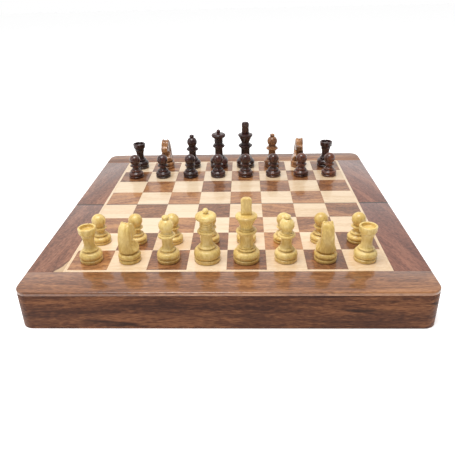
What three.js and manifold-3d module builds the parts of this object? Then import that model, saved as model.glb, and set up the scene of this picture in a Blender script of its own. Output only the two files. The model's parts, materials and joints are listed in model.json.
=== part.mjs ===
// Folding magnetic chess set, +Z up, millimetres. The origin is the middle of the
// opened board, on the surface it stands on. White sits at -Y, black at +Y, files a to h
// run along +X.
//
// The board is a box in two halves, front (-Y) and rear (+Y), hinged under their common
// edge. Open, it is a playing board. Folded under, the two hollow undersides meet and
// hold the men. Each half has four walls, a plywood panel, a steel sheet that the men's
// magnets hold to, a glued playing field with an inlaid string round it, three border
// boards, and a storage insert. The thirty-two men are turned, and stand free.
import * as THREE from "three";
import { mergeVertices } from "three/addons/utils/BufferGeometryUtils.js";
import Module from "manifold-3d";

const wasm = await Module();
wasm.setup();

// Driving dimensions
const SQUARE = 30; // side of one square
const FILES = 8;
const HALF_SIZE = 150; // half of the board's side
const BOARD_HEIGHT = 31; // table to playing surface
const TOP_LAYER = 3; // playing field, string and border boards
const STEEL = 0.5;
const PLYWOOD = 3.5;
const WALL = 10; // side, front, rear and fold walls
const CORNER_RADIUS = 10; // rounded corners of the board, in plan
const STRING_WIDTH = 2.4;
const FOLD_AXIS_Z = 1.75; // hinge pins, above the table
const LIFT_GAP = 0.1; // between the two rims when the box is shut
const LIP_GAP = 0.25; // each lip to the middle of the wall
const FOLD_WALL_GAP = 0.25; // fold wall's underside above the hinge pins
const INSERT_GAP = 0.5; // storage insert to walls and panel
const INSERT_Z = 4; // storage insert's open face, above the table
const INSERT_RIM = 8;
const OFFICER_WELL = 60; // width of the well for the taller men
const CUT_PAST = 1; // how far a cutter runs past the face it cuts

// Worked out from them
const FIELD_HALF = (SQUARE * FILES) / 2;
const STRING_HALF = FIELD_HALF + STRING_WIDTH;
const TOP_Z = BOARD_HEIGHT - TOP_LAYER; // underside of the top layer
const STEEL_Z = TOP_Z - STEEL;
const PANEL_Z = STEEL_Z - PLYWOOD;
const INNER_HALF = HALF_SIZE - WALL;
const REBATE_Z = 2 * FOLD_AXIS_Z + LIFT_GAP; // height of the interlocking lips
const LIP_MIDDLE = HALF_SIZE - WALL / 2;

// Hinges
const HINGE_X = 90; // distance of each hinge from the middle
const LEAF_LENGTH = 25;
const LEAF_WIDTH = 9;
const LEAF_THICK = 1;
const LEAF_Z = FOLD_AXIS_Z + 0.1;
const KNUCKLE_RADIUS = 1.5;
const KNUCKLE_CLEAR = 0.3; // wood and the other leaf's plate stay this far from a knuckle
const MIDDLE_KNUCKLE = 9.5; // length of the rear leaf's knuckle
const KNUCKLE_GAP = 0.25;
const PIN_RADIUS = 0.65;
const BORE_RADIUS = 0.8;
const MORTISE_CLEAR = 0.25;
const ROUND_STEPS = 16; // sides of small cylinders

// Men: total height and radius of the bulge round the foot
const MEN = {
  pawn: { height: 25, radius: 8.1 },
  rook: { height: 28.6, radius: 8.8 },
  knight: { height: 33, radius: 8.7 },
  bishop: { height: 38, radius: 8.8 },
  queen: { height: 43.5, radius: 10.2 },
  king: { height: 51.5, radius: 10.2 },
};
const TURNED_SIDES = 12;
const BACK_RANK = ["rook", "knight", "bishop", "queen", "king", "bishop", "knight", "rook"];
const FILE_LETTERS = "abcdefgh";
const ONLY_ONE = ["queen", "king"]; // named without their file
const TURNED_ASIDE = { light_knight_b: -18, dark_knight_b: -8 }; // degrees from straight ahead

const finish = (color, roughness, metalness = 0) =>
  new THREE.MeshStandardMaterial({ color, roughness, metalness });
const FINISHES = {
  wall: finish(0x6b4332, 0.45),
  border: finish(0x9c6a50, 0.4),
  maple: finish(0xf3d9b4, 0.4),
  field: finish(0xb98f70, 0.4),
  plywood: finish(0xc8a878, 0.8),
  steel: finish(0x8c8f92, 0.4, 1),
  velvet: finish(0x1f4a3a, 0.95),
  brass: finish(0xb08d4a, 0.35, 1),
  light: finish(0xe0c478, 0.35),
  dark: finish(0x3b1d16, 0.3),
};

const set = new THREE.Group();

function add(name, geometry, material, position = [0, 0, 0], turn = 0) {
  const mesh = new THREE.Mesh(geometry, material);
  mesh.name = name;
  mesh.position.set(...position);
  mesh.rotation.z = turn;
  set.add(mesh);
}

// Closed solids to and from manifold-3d
function solidOf(geometry) {
  const bare = geometry.index ? geometry.clone() : geometry;
  bare.deleteAttribute("normal");
  bare.deleteAttribute("uv");
  const merged = mergeVertices(bare, 1e-4);
  return new wasm.Manifold(
    new wasm.Mesh({
      numProp: 3,
      vertProperties: merged.attributes.position.array,
      triVerts: new Uint32Array(merged.index.array),
    }),
  );
}

function geometryOf(solid) {
  const mesh = solid.getMesh();
  const geometry = new THREE.BufferGeometry();
  geometry.setAttribute("position", new THREE.BufferAttribute(mesh.vertProperties, 3));
  geometry.setIndex(new THREE.BufferAttribute(mesh.triVerts, 1));
  geometry.computeVertexNormals();
  return geometry;
}

// A box between two corners
function block(x0, x1, y0, y1, z0, z1) {
  const box = new THREE.BoxGeometry(x1 - x0, Math.abs(y1 - y0), z1 - z0);
  return box.translate((x0 + x1) / 2, (y0 + y1) / 2, (z0 + z1) / 2);
}

const blockSolid = (...corners) => solidOf(block(...corners));

function cylinderAlongX(radius, x0, x1) {
  const rod = new THREE.CylinderGeometry(radius, radius, x1 - x0, ROUND_STEPS);
  rod.rotateZ(-Math.PI / 2).translate((x0 + x1) / 2, 0, FOLD_AXIS_Z);
  return solidOf(rod);
}

function extrude(shape, z0, z1, curveSegments = 6) {
  const solid = new THREE.ExtrudeGeometry(shape, {
    depth: z1 - z0,
    bevelEnabled: false,
    curveSegments,
  });
  return solid.translate(0, 0, z0);
}

// Plan of a board that crosses the whole set at its outer edge, from the outer edge in
// to the line y = inner, with the set's two rounded corners. side is -1 front, +1 rear.
function crossBoardPlan(side, inner) {
  const centre = HALF_SIZE - CORNER_RADIUS;
  const plan = new THREE.Shape();
  plan.moveTo(-HALF_SIZE, side * inner);
  plan.lineTo(HALF_SIZE, side * inner);
  const turn = side > 0 ? Math.PI / 2 : -Math.PI / 2;
  plan.absarc(centre, side * centre, CORNER_RADIUS, 0, turn, side < 0);
  plan.absarc(-centre, side * centre, CORNER_RADIUS, turn, 2 * turn, side < 0);
  plan.closePath();
  return plan;
}

// What is cut from a half's rim so that the two rims lap like a lid: the front half
// keeps the outer part of its walls, the rear half keeps the inner part.
function rimCutter(side) {
  const keepsOuter = side < 0;
  const edge = keepsOuter ? LIP_MIDDLE + LIP_GAP : LIP_MIDDLE - LIP_GAP;
  const past = side * CUT_PAST;
  const inside = blockSolid(-edge, edge, -past, side * edge, -CUT_PAST, REBATE_Z);
  if (keepsOuter) return inside;
  const reach = HALF_SIZE + CUT_PAST;
  return blockSolid(-reach, reach, -past, side * reach, -CUT_PAST, REBATE_Z).subtract(inside);
}

function addWalls(name, side) {
  const cutter = rimCutter(side);
  const cut = (geometry) => geometryOf(solidOf(geometry).subtract(cutter));
  const outer = extrude(crossBoardPlan(side, INNER_HALF), 0, TOP_Z);
  add(`${name}_wall`, cut(outer), FINISHES.wall);
  const inner = side * INNER_HALF;
  const left = block(-HALF_SIZE, -INNER_HALF, 0, inner, 0, TOP_Z);
  const right = block(INNER_HALF, HALF_SIZE, 0, inner, 0, TOP_Z);
  add(`${name}_left_wall`, cut(left), FINISHES.wall);
  add(`${name}_right_wall`, cut(right), FINISHES.wall);
  addFoldWall(name, side);
}

// The wall under the fold, with a mortise for each hinge leaf and room for its knuckles
function addFoldWall(name, side) {
  const under = FOLD_AXIS_Z + FOLD_WALL_GAP;
  const reach = LEAF_LENGTH / 2 + MORTISE_CLEAR;
  const leafTop = LEAF_Z + LEAF_THICK + MORTISE_CLEAR;
  const clear = KNUCKLE_RADIUS + KNUCKLE_CLEAR;
  const past = side * (WALL + CUT_PAST);
  let wall = blockSolid(-INNER_HALF, INNER_HALF, 0, side * WALL, under, TOP_Z);
  for (const x of [-HINGE_X, HINGE_X]) {
    const leaf = blockSolid(x - reach, x + reach, -side, past, 0, leafTop);
    const knuckles = blockSolid(
      x - reach, x + reach, -side, side * clear, 0, FOLD_AXIS_Z + clear,
    );
    wall = wall.subtract(leaf).subtract(knuckles);
  }
  add(`${name}_fold_wall`, geometryOf(wall), FINISHES.wall);
}

function addPanel(name, side) {
  const near = side * WALL;
  const far = side * INNER_HALF;
  const sheet = (z0, z1) => block(-INNER_HALF, INNER_HALF, near, far, z0, z1);
  add(`${name}_base_panel`, sheet(PANEL_Z, STEEL_Z), FINISHES.plywood);
  add(`${name}_steel_sheet`, sheet(STEEL_Z, TOP_Z), FINISHES.steel);
}

function addTopLayer(name, side) {
  const top = BOARD_HEIGHT;
  const field = block(-FIELD_HALF, FIELD_HALF, 0, side * FIELD_HALF, TOP_Z, top);
  add(`${name}_playfield`, field, FINISHES.field);

  const string = new THREE.Shape([
    [-STRING_HALF, 0],
    [-STRING_HALF, side * STRING_HALF],
    [STRING_HALF, side * STRING_HALF],
    [STRING_HALF, 0],
    [FIELD_HALF, 0],
    [FIELD_HALF, side * FIELD_HALF],
    [-FIELD_HALF, side * FIELD_HALF],
    [-FIELD_HALF, 0],
  ].map(([x, y]) => new THREE.Vector2(x, y)));
  add(`${name}_inlay_string`, extrude(string, TOP_Z, top), FINISHES.maple);

  const cross = extrude(crossBoardPlan(side, STRING_HALF), TOP_Z, top);
  add(`${name}_border`, cross, FINISHES.border);
  const reach = side * STRING_HALF;
  const left = block(-HALF_SIZE, -STRING_HALF, 0, reach, TOP_Z, top);
  const right = block(STRING_HALF, HALF_SIZE, 0, reach, TOP_Z, top);
  add(`${name}_left_border`, left, FINISHES.border);
  add(`${name}_right_border`, right, FINISHES.border);
}

// A foam frame with two wells, open at both faces: the panel closes them above
function addInsert(name, side) {
  const half = INNER_HALF - INSERT_GAP;
  const near = WALL + INSERT_GAP;
  const wellHalf = half - INSERT_RIM;
  const top = PANEL_Z - INSERT_GAP;
  const well = (y0, y1) =>
    blockSolid(-wellHalf, wellHalf, side * y0, side * y1, INSERT_Z - CUT_PAST, top + CUT_PAST);
  const officers = [half - INSERT_RIM - OFFICER_WELL, half - INSERT_RIM];
  const pawns = [near + INSERT_RIM, officers[0] - INSERT_RIM];
  const insert = blockSolid(-half, half, side * near, side * half, INSERT_Z, top)
    .subtract(well(...officers))
    .subtract(well(...pawns));
  add(`${name}_storage_insert`, geometryOf(insert), FINISHES.velvet);
}

// A hinge leaf: plate and knuckles. The front leaf has the two outer knuckles and the
// pin riveted into them, the rear leaf has the middle knuckle that turns on the pin.
function addLeaf(name, x, side) {
  const half = LEAF_LENGTH / 2;
  const middle = MIDDLE_KNUCKLE / 2;
  const clear = KNUCKLE_RADIUS + KNUCKLE_CLEAR;
  const top = LEAF_Z + LEAF_THICK;
  const spans = side < 0
    ? [[-half, -middle - KNUCKLE_GAP], [middle + KNUCKLE_GAP, half]]
    : [[-middle, middle]];
  let leaf = blockSolid(x - half, x + half, side * clear, side * LEAF_WIDTH, LEAF_Z, top);
  for (const [x0, x1] of spans) {
    const tab = blockSolid(x + x0, x + x1, side * 0.5, side * (clear + 0.5), LEAF_Z, top);
    leaf = leaf.add(tab).add(cylinderAlongX(KNUCKLE_RADIUS, x + x0, x + x1));
  }
  leaf = side < 0
    ? leaf.add(cylinderAlongX(PIN_RADIUS, x - half + 1, x + half - 1))
    : leaf.subtract(cylinderAlongX(BORE_RADIUS, x - half, x + half));
  add(name, geometryOf(leaf), FINISHES.brass);
}

// Men. A profile is a list of [radius, height] from the middle of the foot to the top.
function arc(centreRadius, centreHeight, across, up, from, to, steps) {
  return Array.from({ length: steps + 1 }, (_, i) => {
    const t = THREE.MathUtils.degToRad(from + ((to - from) * i) / steps);
    return [centreRadius + across * Math.cos(t), centreHeight + up * Math.sin(t)];
  });
}

function turned(profile) {
  const points = profile.map(([r, z]) => new THREE.Vector2(Math.max(r, 0), z));
  return new THREE.LatheGeometry(points, TURNED_SIDES).rotateX(Math.PI / 2);
}

// Foot: a plinth, a bulge and the ring at the stem's foot
function foot(radius, plinth, shoulder, ring) {
  const bulge = 0.27 * radius;
  const middle = plinth + 0.33 * (shoulder - plinth);
  const rise = shoulder - 1.5 - middle;
  return [
    [0, 0],
    [0.98 * radius, 0],
    [0.98 * radius, plinth],
    ...arc(radius - bulge, middle, bulge, rise, 0, 80, 2),
    [ring, shoulder - 0.5],
    [ring, shoulder + 0.4],
  ];
}

const collar = (radius, height, half = 0.6) => [
  [radius, height - half],
  [radius, height + half],
];

function pawnProfile({ height, radius }) {
  const ball = 5.7;
  const centre = height - ball;
  return [
    ...foot(radius, 2.1, 7.5, 5.8),
    [3.4, 10.6],
    ...collar(5.7, 13.2),
    ...arc(0, centre, ball, ball, -48, 90, 4),
  ];
}

function rookProfile({ height, radius }) {
  const floor = height - 2.7;
  return [
    ...foot(radius, 2.7, 10, 6.2),
    [4.1, 14.5],
    [4.2, 17.4],
    [5.5, 20.4],
    [5.5, 23.5],
    [6.4, 23.7],
    [6.8, height],
    [5.4, height],
    [5, floor],
    [0, floor],
  ];
}

function bishopProfile({ height, radius }) {
  const ball = 5.65;
  const button = 1.7;
  return [
    ...foot(radius, 2.8, 10, 6.1),
    [4.05, 13.5],
    [4.05, 19],
    ...collar(6.7, 21.4, 0.8),
    [4.2, 23.9],
    ...arc(0, 29.6, ball, ball, -44, 66, 4),
    ...arc(0, height - button, 2.7, button, -20, 90, 2),
  ];
}

function queenProfile({ height, radius }) {
  const ball = 2.25;
  return [
    ...foot(radius, 3.1, 12.2, 6.8),
    [4.5, 14.5],
    [4.35, 21.8],
    ...collar(6.9, 24.8, 0.9),
    [4.8, 27.4],
    [4.9, 34],
    [8, 36.7],
    [5.6, 38.9],
    [1.8, 39.2],
    ...arc(0, height - ball, ball, ball, -30, 90, 2),
  ];
}

function kingProfile({ radius }) {
  return [
    ...foot(radius, 3, 11.6, 6.9),
    [4.9, 14.8],
    [4.9, 22.2],
    ...collar(7.8, 25, 0.8),
    [4.4, 28.3],
    [7.6, 35.9],
    [8.1, 37.5],
    [4.6, 38.4],
    [0, 38.5],
  ];
}

// The king's flat finial, with a nick in each side and a rounded top
function kingFinial({ height }) {
  const halfWidth = 4;
  const halfThick = 2.2;
  const nick = 0.5;
  const rounding = 2.4;
  const low = 38;
  const waist = 45.2;
  const outline = new THREE.Shape();
  outline.moveTo(-halfWidth, low);
  outline.lineTo(halfWidth, low);
  outline.lineTo(halfWidth, waist - nick);
  outline.lineTo(halfWidth - nick, waist);
  outline.lineTo(halfWidth, waist + nick);
  outline.absarc(halfWidth - rounding, height - rounding, rounding, 0, Math.PI / 2, false);
  outline.absarc(rounding - halfWidth, height - rounding, rounding, Math.PI / 2, Math.PI, false);
  outline.lineTo(-halfWidth, waist + nick);
  outline.lineTo(nick - halfWidth, waist);
  outline.lineTo(-halfWidth, waist - nick);
  outline.closePath();
  return extrude(outline, -halfThick, halfThick, 3).rotateX(Math.PI / 2);
}

// Four slots across the rook's rim
function rookSlots({ height }) {
  const half = 0.3;
  const reach = 8;
  const depth = 0.7;
  const across = blockSolid(-reach, reach, -half, half, height - depth, height + CUT_PAST);
  const along = blockSolid(-half, half, -reach, reach, height - depth, height + CUT_PAST);
  return across.add(along);
}

// The knight's carved head, facing +Y: its side and front outlines crossed, cut from a turned
// blank that is undercut above the foot
function knightHead({ height, radius }) {
  const low = 6.5;
  const girth = 0.9 * radius;
  const blank = turned([
    [0, low],
    [5.4, low],
    [5.4, 8.1],
    [girth, 9.3],
    [girth, height],
    [0, height],
  ]);
  const side = new THREE.Shape();
  side.moveTo(-7.6, low);
  side.quadraticCurveTo(-8.4, 22, -2.6, height - 1.8);
  side.lineTo(-0.6, height);
  side.lineTo(1.4, height - 2.2);
  side.quadraticCurveTo(5.6, 27.5, 8, 22.6);
  side.lineTo(6.2, 20);
  side.lineTo(2.6, 20.4);
  side.quadraticCurveTo(1.4, 17, 6.2, 13);
  side.lineTo(7.6, 10.5);
  side.lineTo(7.6, low);
  side.closePath();
  const front = new THREE.Shape();
  front.moveTo(-7.8, low);
  front.lineTo(-7.8, 9.2);
  front.quadraticCurveTo(-5, 11, -4.7, 25);
  front.lineTo(-3.4, height);
  front.lineTo(3.4, height);
  front.lineTo(4.7, 25);
  front.quadraticCurveTo(5, 11, 7.8, 9.2);
  front.lineTo(7.8, low);
  front.closePath();
  const thick = extrude(side, -9, 9, 3).rotateX(Math.PI / 2).rotateZ(Math.PI / 2);
  const wide = extrude(front, -10, 10, 3).rotateX(Math.PI / 2);
  return solidOf(thick).intersect(solidOf(wide)).intersect(solidOf(blank));
}

function knightBase({ radius }) {
  return turned([...foot(radius, 2.8, 9.2, 6).slice(0, -2), [0, 7.7]]);
}

const BUILDERS = {
  pawn: (man) => turned(pawnProfile(man)),
  rook: (man) => geometryOf(solidOf(turned(rookProfile(man))).subtract(rookSlots(man))),
  knight: (man) => geometryOf(solidOf(knightBase(man)).add(knightHead(man))),
  bishop: (man) => turned(bishopProfile(man)),
  queen: (man) => turned(queenProfile(man)),
  king: (man) => geometryOf(solidOf(turned(kingProfile(man))).add(solidOf(kingFinial(man)))),
};

// One army: its back rank and its pawns, in the middle of their squares, facing the other
function addArmy(colour, side) {
  const ahead = side < 0 ? 0 : 180;
  const place = (kind, file, rank) => {
    const letter = FILE_LETTERS[file];
    const name = ONLY_ONE.includes(kind) ? `${colour}_${kind}` : `${colour}_${kind}_${letter}`;
    const turn = THREE.MathUtils.degToRad(ahead + (TURNED_ASIDE[name] ?? 0));
    const x = (file + 0.5) * SQUARE - FIELD_HALF;
    const y = side * (FIELD_HALF - (rank + 0.5) * SQUARE);
    add(name, BUILDERS[kind](MEN[kind]), FINISHES[colour], [x, y, BOARD_HEIGHT], turn);
  };
  BACK_RANK.forEach((kind, file) => place(kind, file, 0));
  BACK_RANK.forEach((_, file) => place("pawn", file, 1));
}

for (const [name, side] of [["front", -1], ["rear", 1]]) {
  addWalls(name, side);
  addPanel(name, side);
  addTopLayer(name, side);
  addInsert(name, side);
}
for (const [name, x] of [["left", -HINGE_X], ["right", HINGE_X]]) {
  addLeaf(`${name}_hinge_front_leaf`, x, -1);
  addLeaf(`${name}_hinge_rear_leaf`, x, 1);
}
addArmy("light", -1);
addArmy("dark", 1);

export default set;
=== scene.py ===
"""The looks of a folding magnetic chess set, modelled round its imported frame.

The board is a shallow box in two halves, hinged under their common edge. Each half has
sheesham walls and border boards, a maple string, inlaid squares, and a velvet storage
insert underneath. The thirty-two men are turned in boxwood and in dark rosewood, with a
magnet and a felt under each foot.
"""

import json
import logging
import math
from dataclasses import dataclass, field
from enum import Enum
from typing import Callable, Iterable, Optional, Sequence

import bpy
from mathutils import Matrix, Vector


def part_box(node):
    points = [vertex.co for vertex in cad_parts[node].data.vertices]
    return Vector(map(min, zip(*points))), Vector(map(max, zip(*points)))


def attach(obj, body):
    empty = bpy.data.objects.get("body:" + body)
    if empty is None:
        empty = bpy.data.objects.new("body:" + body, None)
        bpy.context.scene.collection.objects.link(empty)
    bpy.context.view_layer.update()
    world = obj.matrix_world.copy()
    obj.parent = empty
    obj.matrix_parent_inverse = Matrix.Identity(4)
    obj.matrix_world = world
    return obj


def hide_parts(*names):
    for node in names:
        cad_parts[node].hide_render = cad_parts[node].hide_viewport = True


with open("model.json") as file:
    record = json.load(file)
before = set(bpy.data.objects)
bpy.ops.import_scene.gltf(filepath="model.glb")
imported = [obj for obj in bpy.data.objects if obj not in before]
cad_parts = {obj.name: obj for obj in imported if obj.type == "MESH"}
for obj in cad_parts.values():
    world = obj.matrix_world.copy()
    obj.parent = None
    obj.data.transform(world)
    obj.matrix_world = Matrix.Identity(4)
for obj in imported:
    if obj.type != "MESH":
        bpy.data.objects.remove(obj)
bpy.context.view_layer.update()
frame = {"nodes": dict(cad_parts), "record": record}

LOG = logging.getLogger("chess_set")

MM = 0.001
TOUCH = 0.01 * MM  # points closer than this count as one
PAST = 1 * MM  # how far a cutter stands out of what it cuts
SQUARE = 30 * MM
HINGES = ("left_hinge", "right_hinge")
FILE_LETTERS = "abcdefgh"
BACK_RANK = ("rook", "knight", "bishop", "queen", "king", "bishop", "knight", "rook")

Colour = tuple[float, float, float]
Point = tuple[float, float]
Box = tuple[Vector, Vector]


class Side(Enum):
    """The two halves of the board, with the sign of their Y."""

    FRONT = -1
    REAR = 1

    @property
    def label(self) -> str:
        """The half's name, as the frame's nodes start with it."""
        return self.name.lower()

    @property
    def body(self) -> str:
        """The CAD body that the half's pieces ride on."""
        return f"{self.label}_half"


class Grain(Enum):
    """The way the wood's grain runs, as the turn that brings it onto X."""

    ALONG_X = (0.0, 0.0, 0.0)
    ALONG_Y = (0.0, 0.0, math.pi / 2)
    ALONG_Z = (0.0, math.pi / 2, 0.0)


class Tone(Enum):
    """The three tones of the dark men's wood."""

    EBONY = "ebony"
    RUSSET = "russet"
    TAN = "tan"


# ---------------------------------------------------------------------------
# Workbench: the operators that every piece is made with
# ---------------------------------------------------------------------------


def let_go() -> None:
    """Leaves edit mode and selects nothing."""
    if bpy.context.object and bpy.context.object.mode != "OBJECT":
        bpy.ops.object.mode_set(mode="OBJECT")
    bpy.ops.object.select_all(action="DESELECT")


def hold(piece: bpy.types.Object) -> None:
    """Selects one piece alone and makes it the active one.

    Args:
        piece: The object to work on.
    """
    let_go()
    piece.select_set(True)
    bpy.context.view_layer.objects.active = piece


def settle(piece: bpy.types.Object, weld: float = TOUCH) -> bpy.types.Object:
    """Puts a piece's place into its mesh, merges its doubles and turns its faces outwards.

    Args:
        piece: The piece, anywhere in space.
        weld: Points closer than this become one.

    Returns:
        The same piece, its object at the origin.
    """
    hold(piece)
    bpy.ops.object.transform_apply(location=True, rotation=True, scale=True)
    bpy.ops.object.mode_set(mode="EDIT")
    bpy.ops.mesh.select_all(action="SELECT")
    bpy.ops.mesh.remove_doubles(threshold=weld)
    bpy.ops.mesh.normals_make_consistent(inside=False)
    bpy.ops.object.mode_set(mode="OBJECT")
    return piece


def apply_modifier(piece: bpy.types.Object, kind: str, **settings: object) -> None:
    """Adds a modifier with these settings and applies it.

    Args:
        piece: The piece to change.
        kind: The modifier's type, such as "BEVEL".
        **settings: The modifier's own properties.
    """
    hold(piece)
    bpy.ops.object.modifier_add(type=kind)
    modifier = piece.modifiers[-1]
    for key, value in settings.items():
        setattr(modifier, key, value)
    bpy.ops.object.modifier_apply(modifier=modifier.name)


def combine(
    piece: bpy.types.Object, tool: bpy.types.Object, operation: str, solver: str = "EXACT"
) -> None:
    """Joins, cuts or intersects a piece with a tool, which is used up.

    Args:
        piece: The piece to change.
        tool: The closed mesh that it is combined with.
        operation: "UNION", "DIFFERENCE" or "INTERSECT".
        solver: The modifier's solver; "MANIFOLD" suits a remeshed carving.
    """
    apply_modifier(piece, "BOOLEAN", object=tool, operation=operation, solver=solver)
    bpy.data.objects.remove(tool)


def soften(piece: bpy.types.Object, width: float, segments: int = 2, angle: float = 40) -> None:
    """Rounds every edge that is sharper than an angle.

    Args:
        piece: The piece to change.
        width: How far back from the edge the rounding starts.
        segments: Facets across the rounding.
        angle: The least angle in degrees between the edge's two faces.
    """
    apply_modifier(
        piece, "BEVEL", width=width, segments=segments,
        limit_method="ANGLE", angle_limit=math.radians(angle), harden_normals=False,
    )


def shade(piece: bpy.types.Object, angle: float = 35) -> None:
    """Shades a piece smooth, apart from edges sharper than an angle in degrees."""
    hold(piece)
    bpy.ops.object.shade_smooth_by_angle(angle=math.radians(angle))


def block(name: str, low: Sequence[float], high: Sequence[float]) -> bpy.types.Object:
    """A rectangular blank between two corners, at the origin.

    Args:
        name: The object's name.
        low: Its lowest corner.
        high: Its highest corner.

    Returns:
        The new object.
    """
    let_go()
    low, high = Vector(low), Vector(high)
    bpy.ops.mesh.primitive_cube_add(size=1, location=(low + high) / 2, scale=high - low)
    blank = bpy.context.object
    blank.name = blank.data.name = name
    bpy.ops.object.transform_apply(location=True, rotation=True, scale=True)
    return blank


def bevel_edges(
    piece: bpy.types.Object,
    wanted: Callable[[Vector, Vector], bool],
    offset: float,
    segments: int,
) -> None:
    """Bevels the edges whose two ends pass a test.

    Args:
        piece: The piece to change.
        wanted: Says whether the edge between two points is bevelled.
        offset: The bevel's width.
        segments: Facets across the bevel.
    """
    hold(piece)
    bpy.ops.object.mode_set(mode="EDIT")
    bpy.ops.mesh.select_mode(type="EDGE")
    bpy.ops.mesh.select_all(action="DESELECT")
    bpy.ops.object.mode_set(mode="OBJECT")
    points = piece.data.vertices
    for edge in piece.data.edges:
        first, second = (points[index].co for index in edge.vertices)
        edge.select = wanted(first, second)
    bpy.ops.object.mode_set(mode="EDIT")
    bpy.ops.mesh.bevel(offset=offset, segments=segments, affect="EDGES", clamp_overlap=True)
    bpy.ops.object.mode_set(mode="OBJECT")


def is_upright(first: Vector, second: Vector) -> bool:
    """Whether one of an edge's two ends stands straight over the other."""
    return (first - second).xy.length < TOUCH


def split_off(piece: bpy.types.Object, point: Sequence[float], away: Sequence[float]) -> None:
    """Saws a piece through and drops the part on the far side of the cut.

    Args:
        piece: The piece to saw.
        point: A point on the cut.
        away: The cut's normal, towards what is dropped.
    """
    hold(piece)
    bpy.ops.object.mode_set(mode="EDIT")
    bpy.ops.mesh.select_all(action="SELECT")
    bpy.ops.mesh.bisect(plane_co=point, plane_no=away, use_fill=True, clear_outer=True)
    bpy.ops.object.mode_set(mode="OBJECT")


def copy_of(piece: bpy.types.Object, name: str, place: Matrix) -> bpy.types.Object:
    """A copy with its own mesh, moved to its place.

    Args:
        piece: The pattern.
        name: The copy's name.
        place: Where the pattern's origin goes, and how it is turned.

    Returns:
        The copy, its object at the origin.
    """
    twin = piece.copy()
    twin.data = piece.data.copy()
    twin.name = twin.data.name = name
    bpy.context.scene.collection.objects.link(twin)
    twin.data.transform(place)
    return twin


def join(pieces: Sequence[bpy.types.Object], name: str) -> bpy.types.Object:
    """Makes several meshes one object.

    Args:
        pieces: The meshes, which become one.
        name: The name of the whole.

    Returns:
        The joined object.
    """
    hold(pieces[0])
    for piece in pieces[1:]:
        piece.select_set(True)
    bpy.ops.object.join()
    whole = bpy.context.object
    whole.name = whole.data.name = name
    return whole


def arc(
    centre: Point, across: float, up: float, start: float, end: float, steps: int
) -> list[Point]:
    """Points on an upright ellipse.

    Args:
        centre: The ellipse's centre.
        across: Its first half axis.
        up: Its second half axis.
        start: The first point's angle in degrees, 0 pointing outwards.
        end: The last point's angle.
        steps: How many spans the points divide the arc in.

    Returns:
        The points in order.
    """
    angles = (math.radians(start + (end - start) * i / steps) for i in range(steps + 1))
    return [(centre[0] + across * math.cos(a), centre[1] + up * math.sin(a)) for a in angles]


def bend(start: Point, pull: Point, end: Point, steps: int = 8) -> list[Point]:
    """Points on a curve from start to end that leans towards pull.

    Args:
        start: The first point.
        pull: The control point.
        end: The last point.
        steps: How many spans the curve is divided in.

    Returns:
        The points in order, both ends included.
    """
    curve = []
    for i in range(steps + 1):
        t = i / steps
        a, b, c = (1 - t) ** 2, 2 * t * (1 - t), t * t
        curve.append(tuple(a * start[k] + b * pull[k] + c * end[k] for k in (0, 1)))
    return curve


def mirrored(right: Sequence[Point]) -> list[Point]:
    """An outline's right side followed by its left one, which mirrors it."""
    return [*right, *((-x, z) for x, z in reversed(right))]


def bead(radius: float, height: float, thick: float) -> list[Point]:
    """A half-round ring of a turned profile, from its lower edge to its upper one."""
    half = thick / 2
    return arc((radius - half, height), half, half, -80, 80, 5)


def turn(name: str, profile: Sequence[Point], sides: int = 56) -> bpy.types.Object:
    """Turns a profile on the lathe: a disc whose face is extruded and resized to each radius.

    Args:
        name: The object's name.
        profile: Radius and height in millimetres, from the foot up.
        sides: Facets round the piece.

    Returns:
        The closed piece, round the Z axis.
    """
    let_go()
    (radius, height), *rest = profile
    bpy.ops.mesh.primitive_circle_add(
        vertices=sides, radius=radius * MM, location=(0, 0, height * MM), fill_type="NGON"
    )
    piece = bpy.context.object
    piece.name = piece.data.name = name
    bpy.ops.object.transform_apply(location=True, rotation=True, scale=True)
    bpy.ops.object.mode_set(mode="EDIT")
    bpy.ops.mesh.select_mode(type="FACE")
    bpy.ops.mesh.select_all(action="SELECT")
    for next_radius, next_height in rest:
        rise = (0, 0, (next_height - height) * MM)
        bpy.ops.mesh.extrude_region_move(TRANSFORM_OT_translate={"value": rise})
        if abs(next_radius - radius) > 1e-6:
            grow = next_radius / radius
            bpy.ops.transform.resize(
                value=(grow, grow, 1), center_override=(0, 0, next_height * MM)
            )
        radius, height = next_radius, next_height
    bpy.ops.object.mode_set(mode="OBJECT")
    return settle(piece, weld=0.002 * MM)


def outline(name: str, points: Sequence[Point], low: float, high: float) -> bpy.types.Object:
    """A board sawn to an outline in the XZ plane and thickened along Y.

    Args:
        name: The object's name.
        points: The outline's corners, X and Z in millimetres.
        low: The near face's Y in millimetres.
        high: The far face's Y in millimetres.

    Returns:
        The closed board.
    """
    let_go()
    start = Vector((points[0][0], low, points[0][1])) * MM
    bpy.ops.mesh.primitive_plane_add(size=MM, location=start)
    board = bpy.context.object
    board.name = board.data.name = name
    bpy.ops.object.transform_apply(location=True, rotation=True, scale=True)
    bpy.ops.object.mode_set(mode="EDIT")
    bpy.ops.mesh.select_mode(type="VERT")
    bpy.ops.mesh.select_all(action="SELECT")
    bpy.ops.mesh.merge(type="CENTER")
    for here, there in zip(points, points[1:]):
        step = ((there[0] - here[0]) * MM, 0, (there[1] - here[1]) * MM)
        bpy.ops.mesh.extrude_region_move(TRANSFORM_OT_translate={"value": step})
    bpy.ops.mesh.select_all(action="SELECT")
    bpy.ops.mesh.edge_face_add()
    bpy.ops.mesh.extrude_region_move(
        TRANSFORM_OT_translate={"value": (0, (high - low) * MM, 0)}
    )
    bpy.ops.object.mode_set(mode="OBJECT")
    return settle(board)


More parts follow.
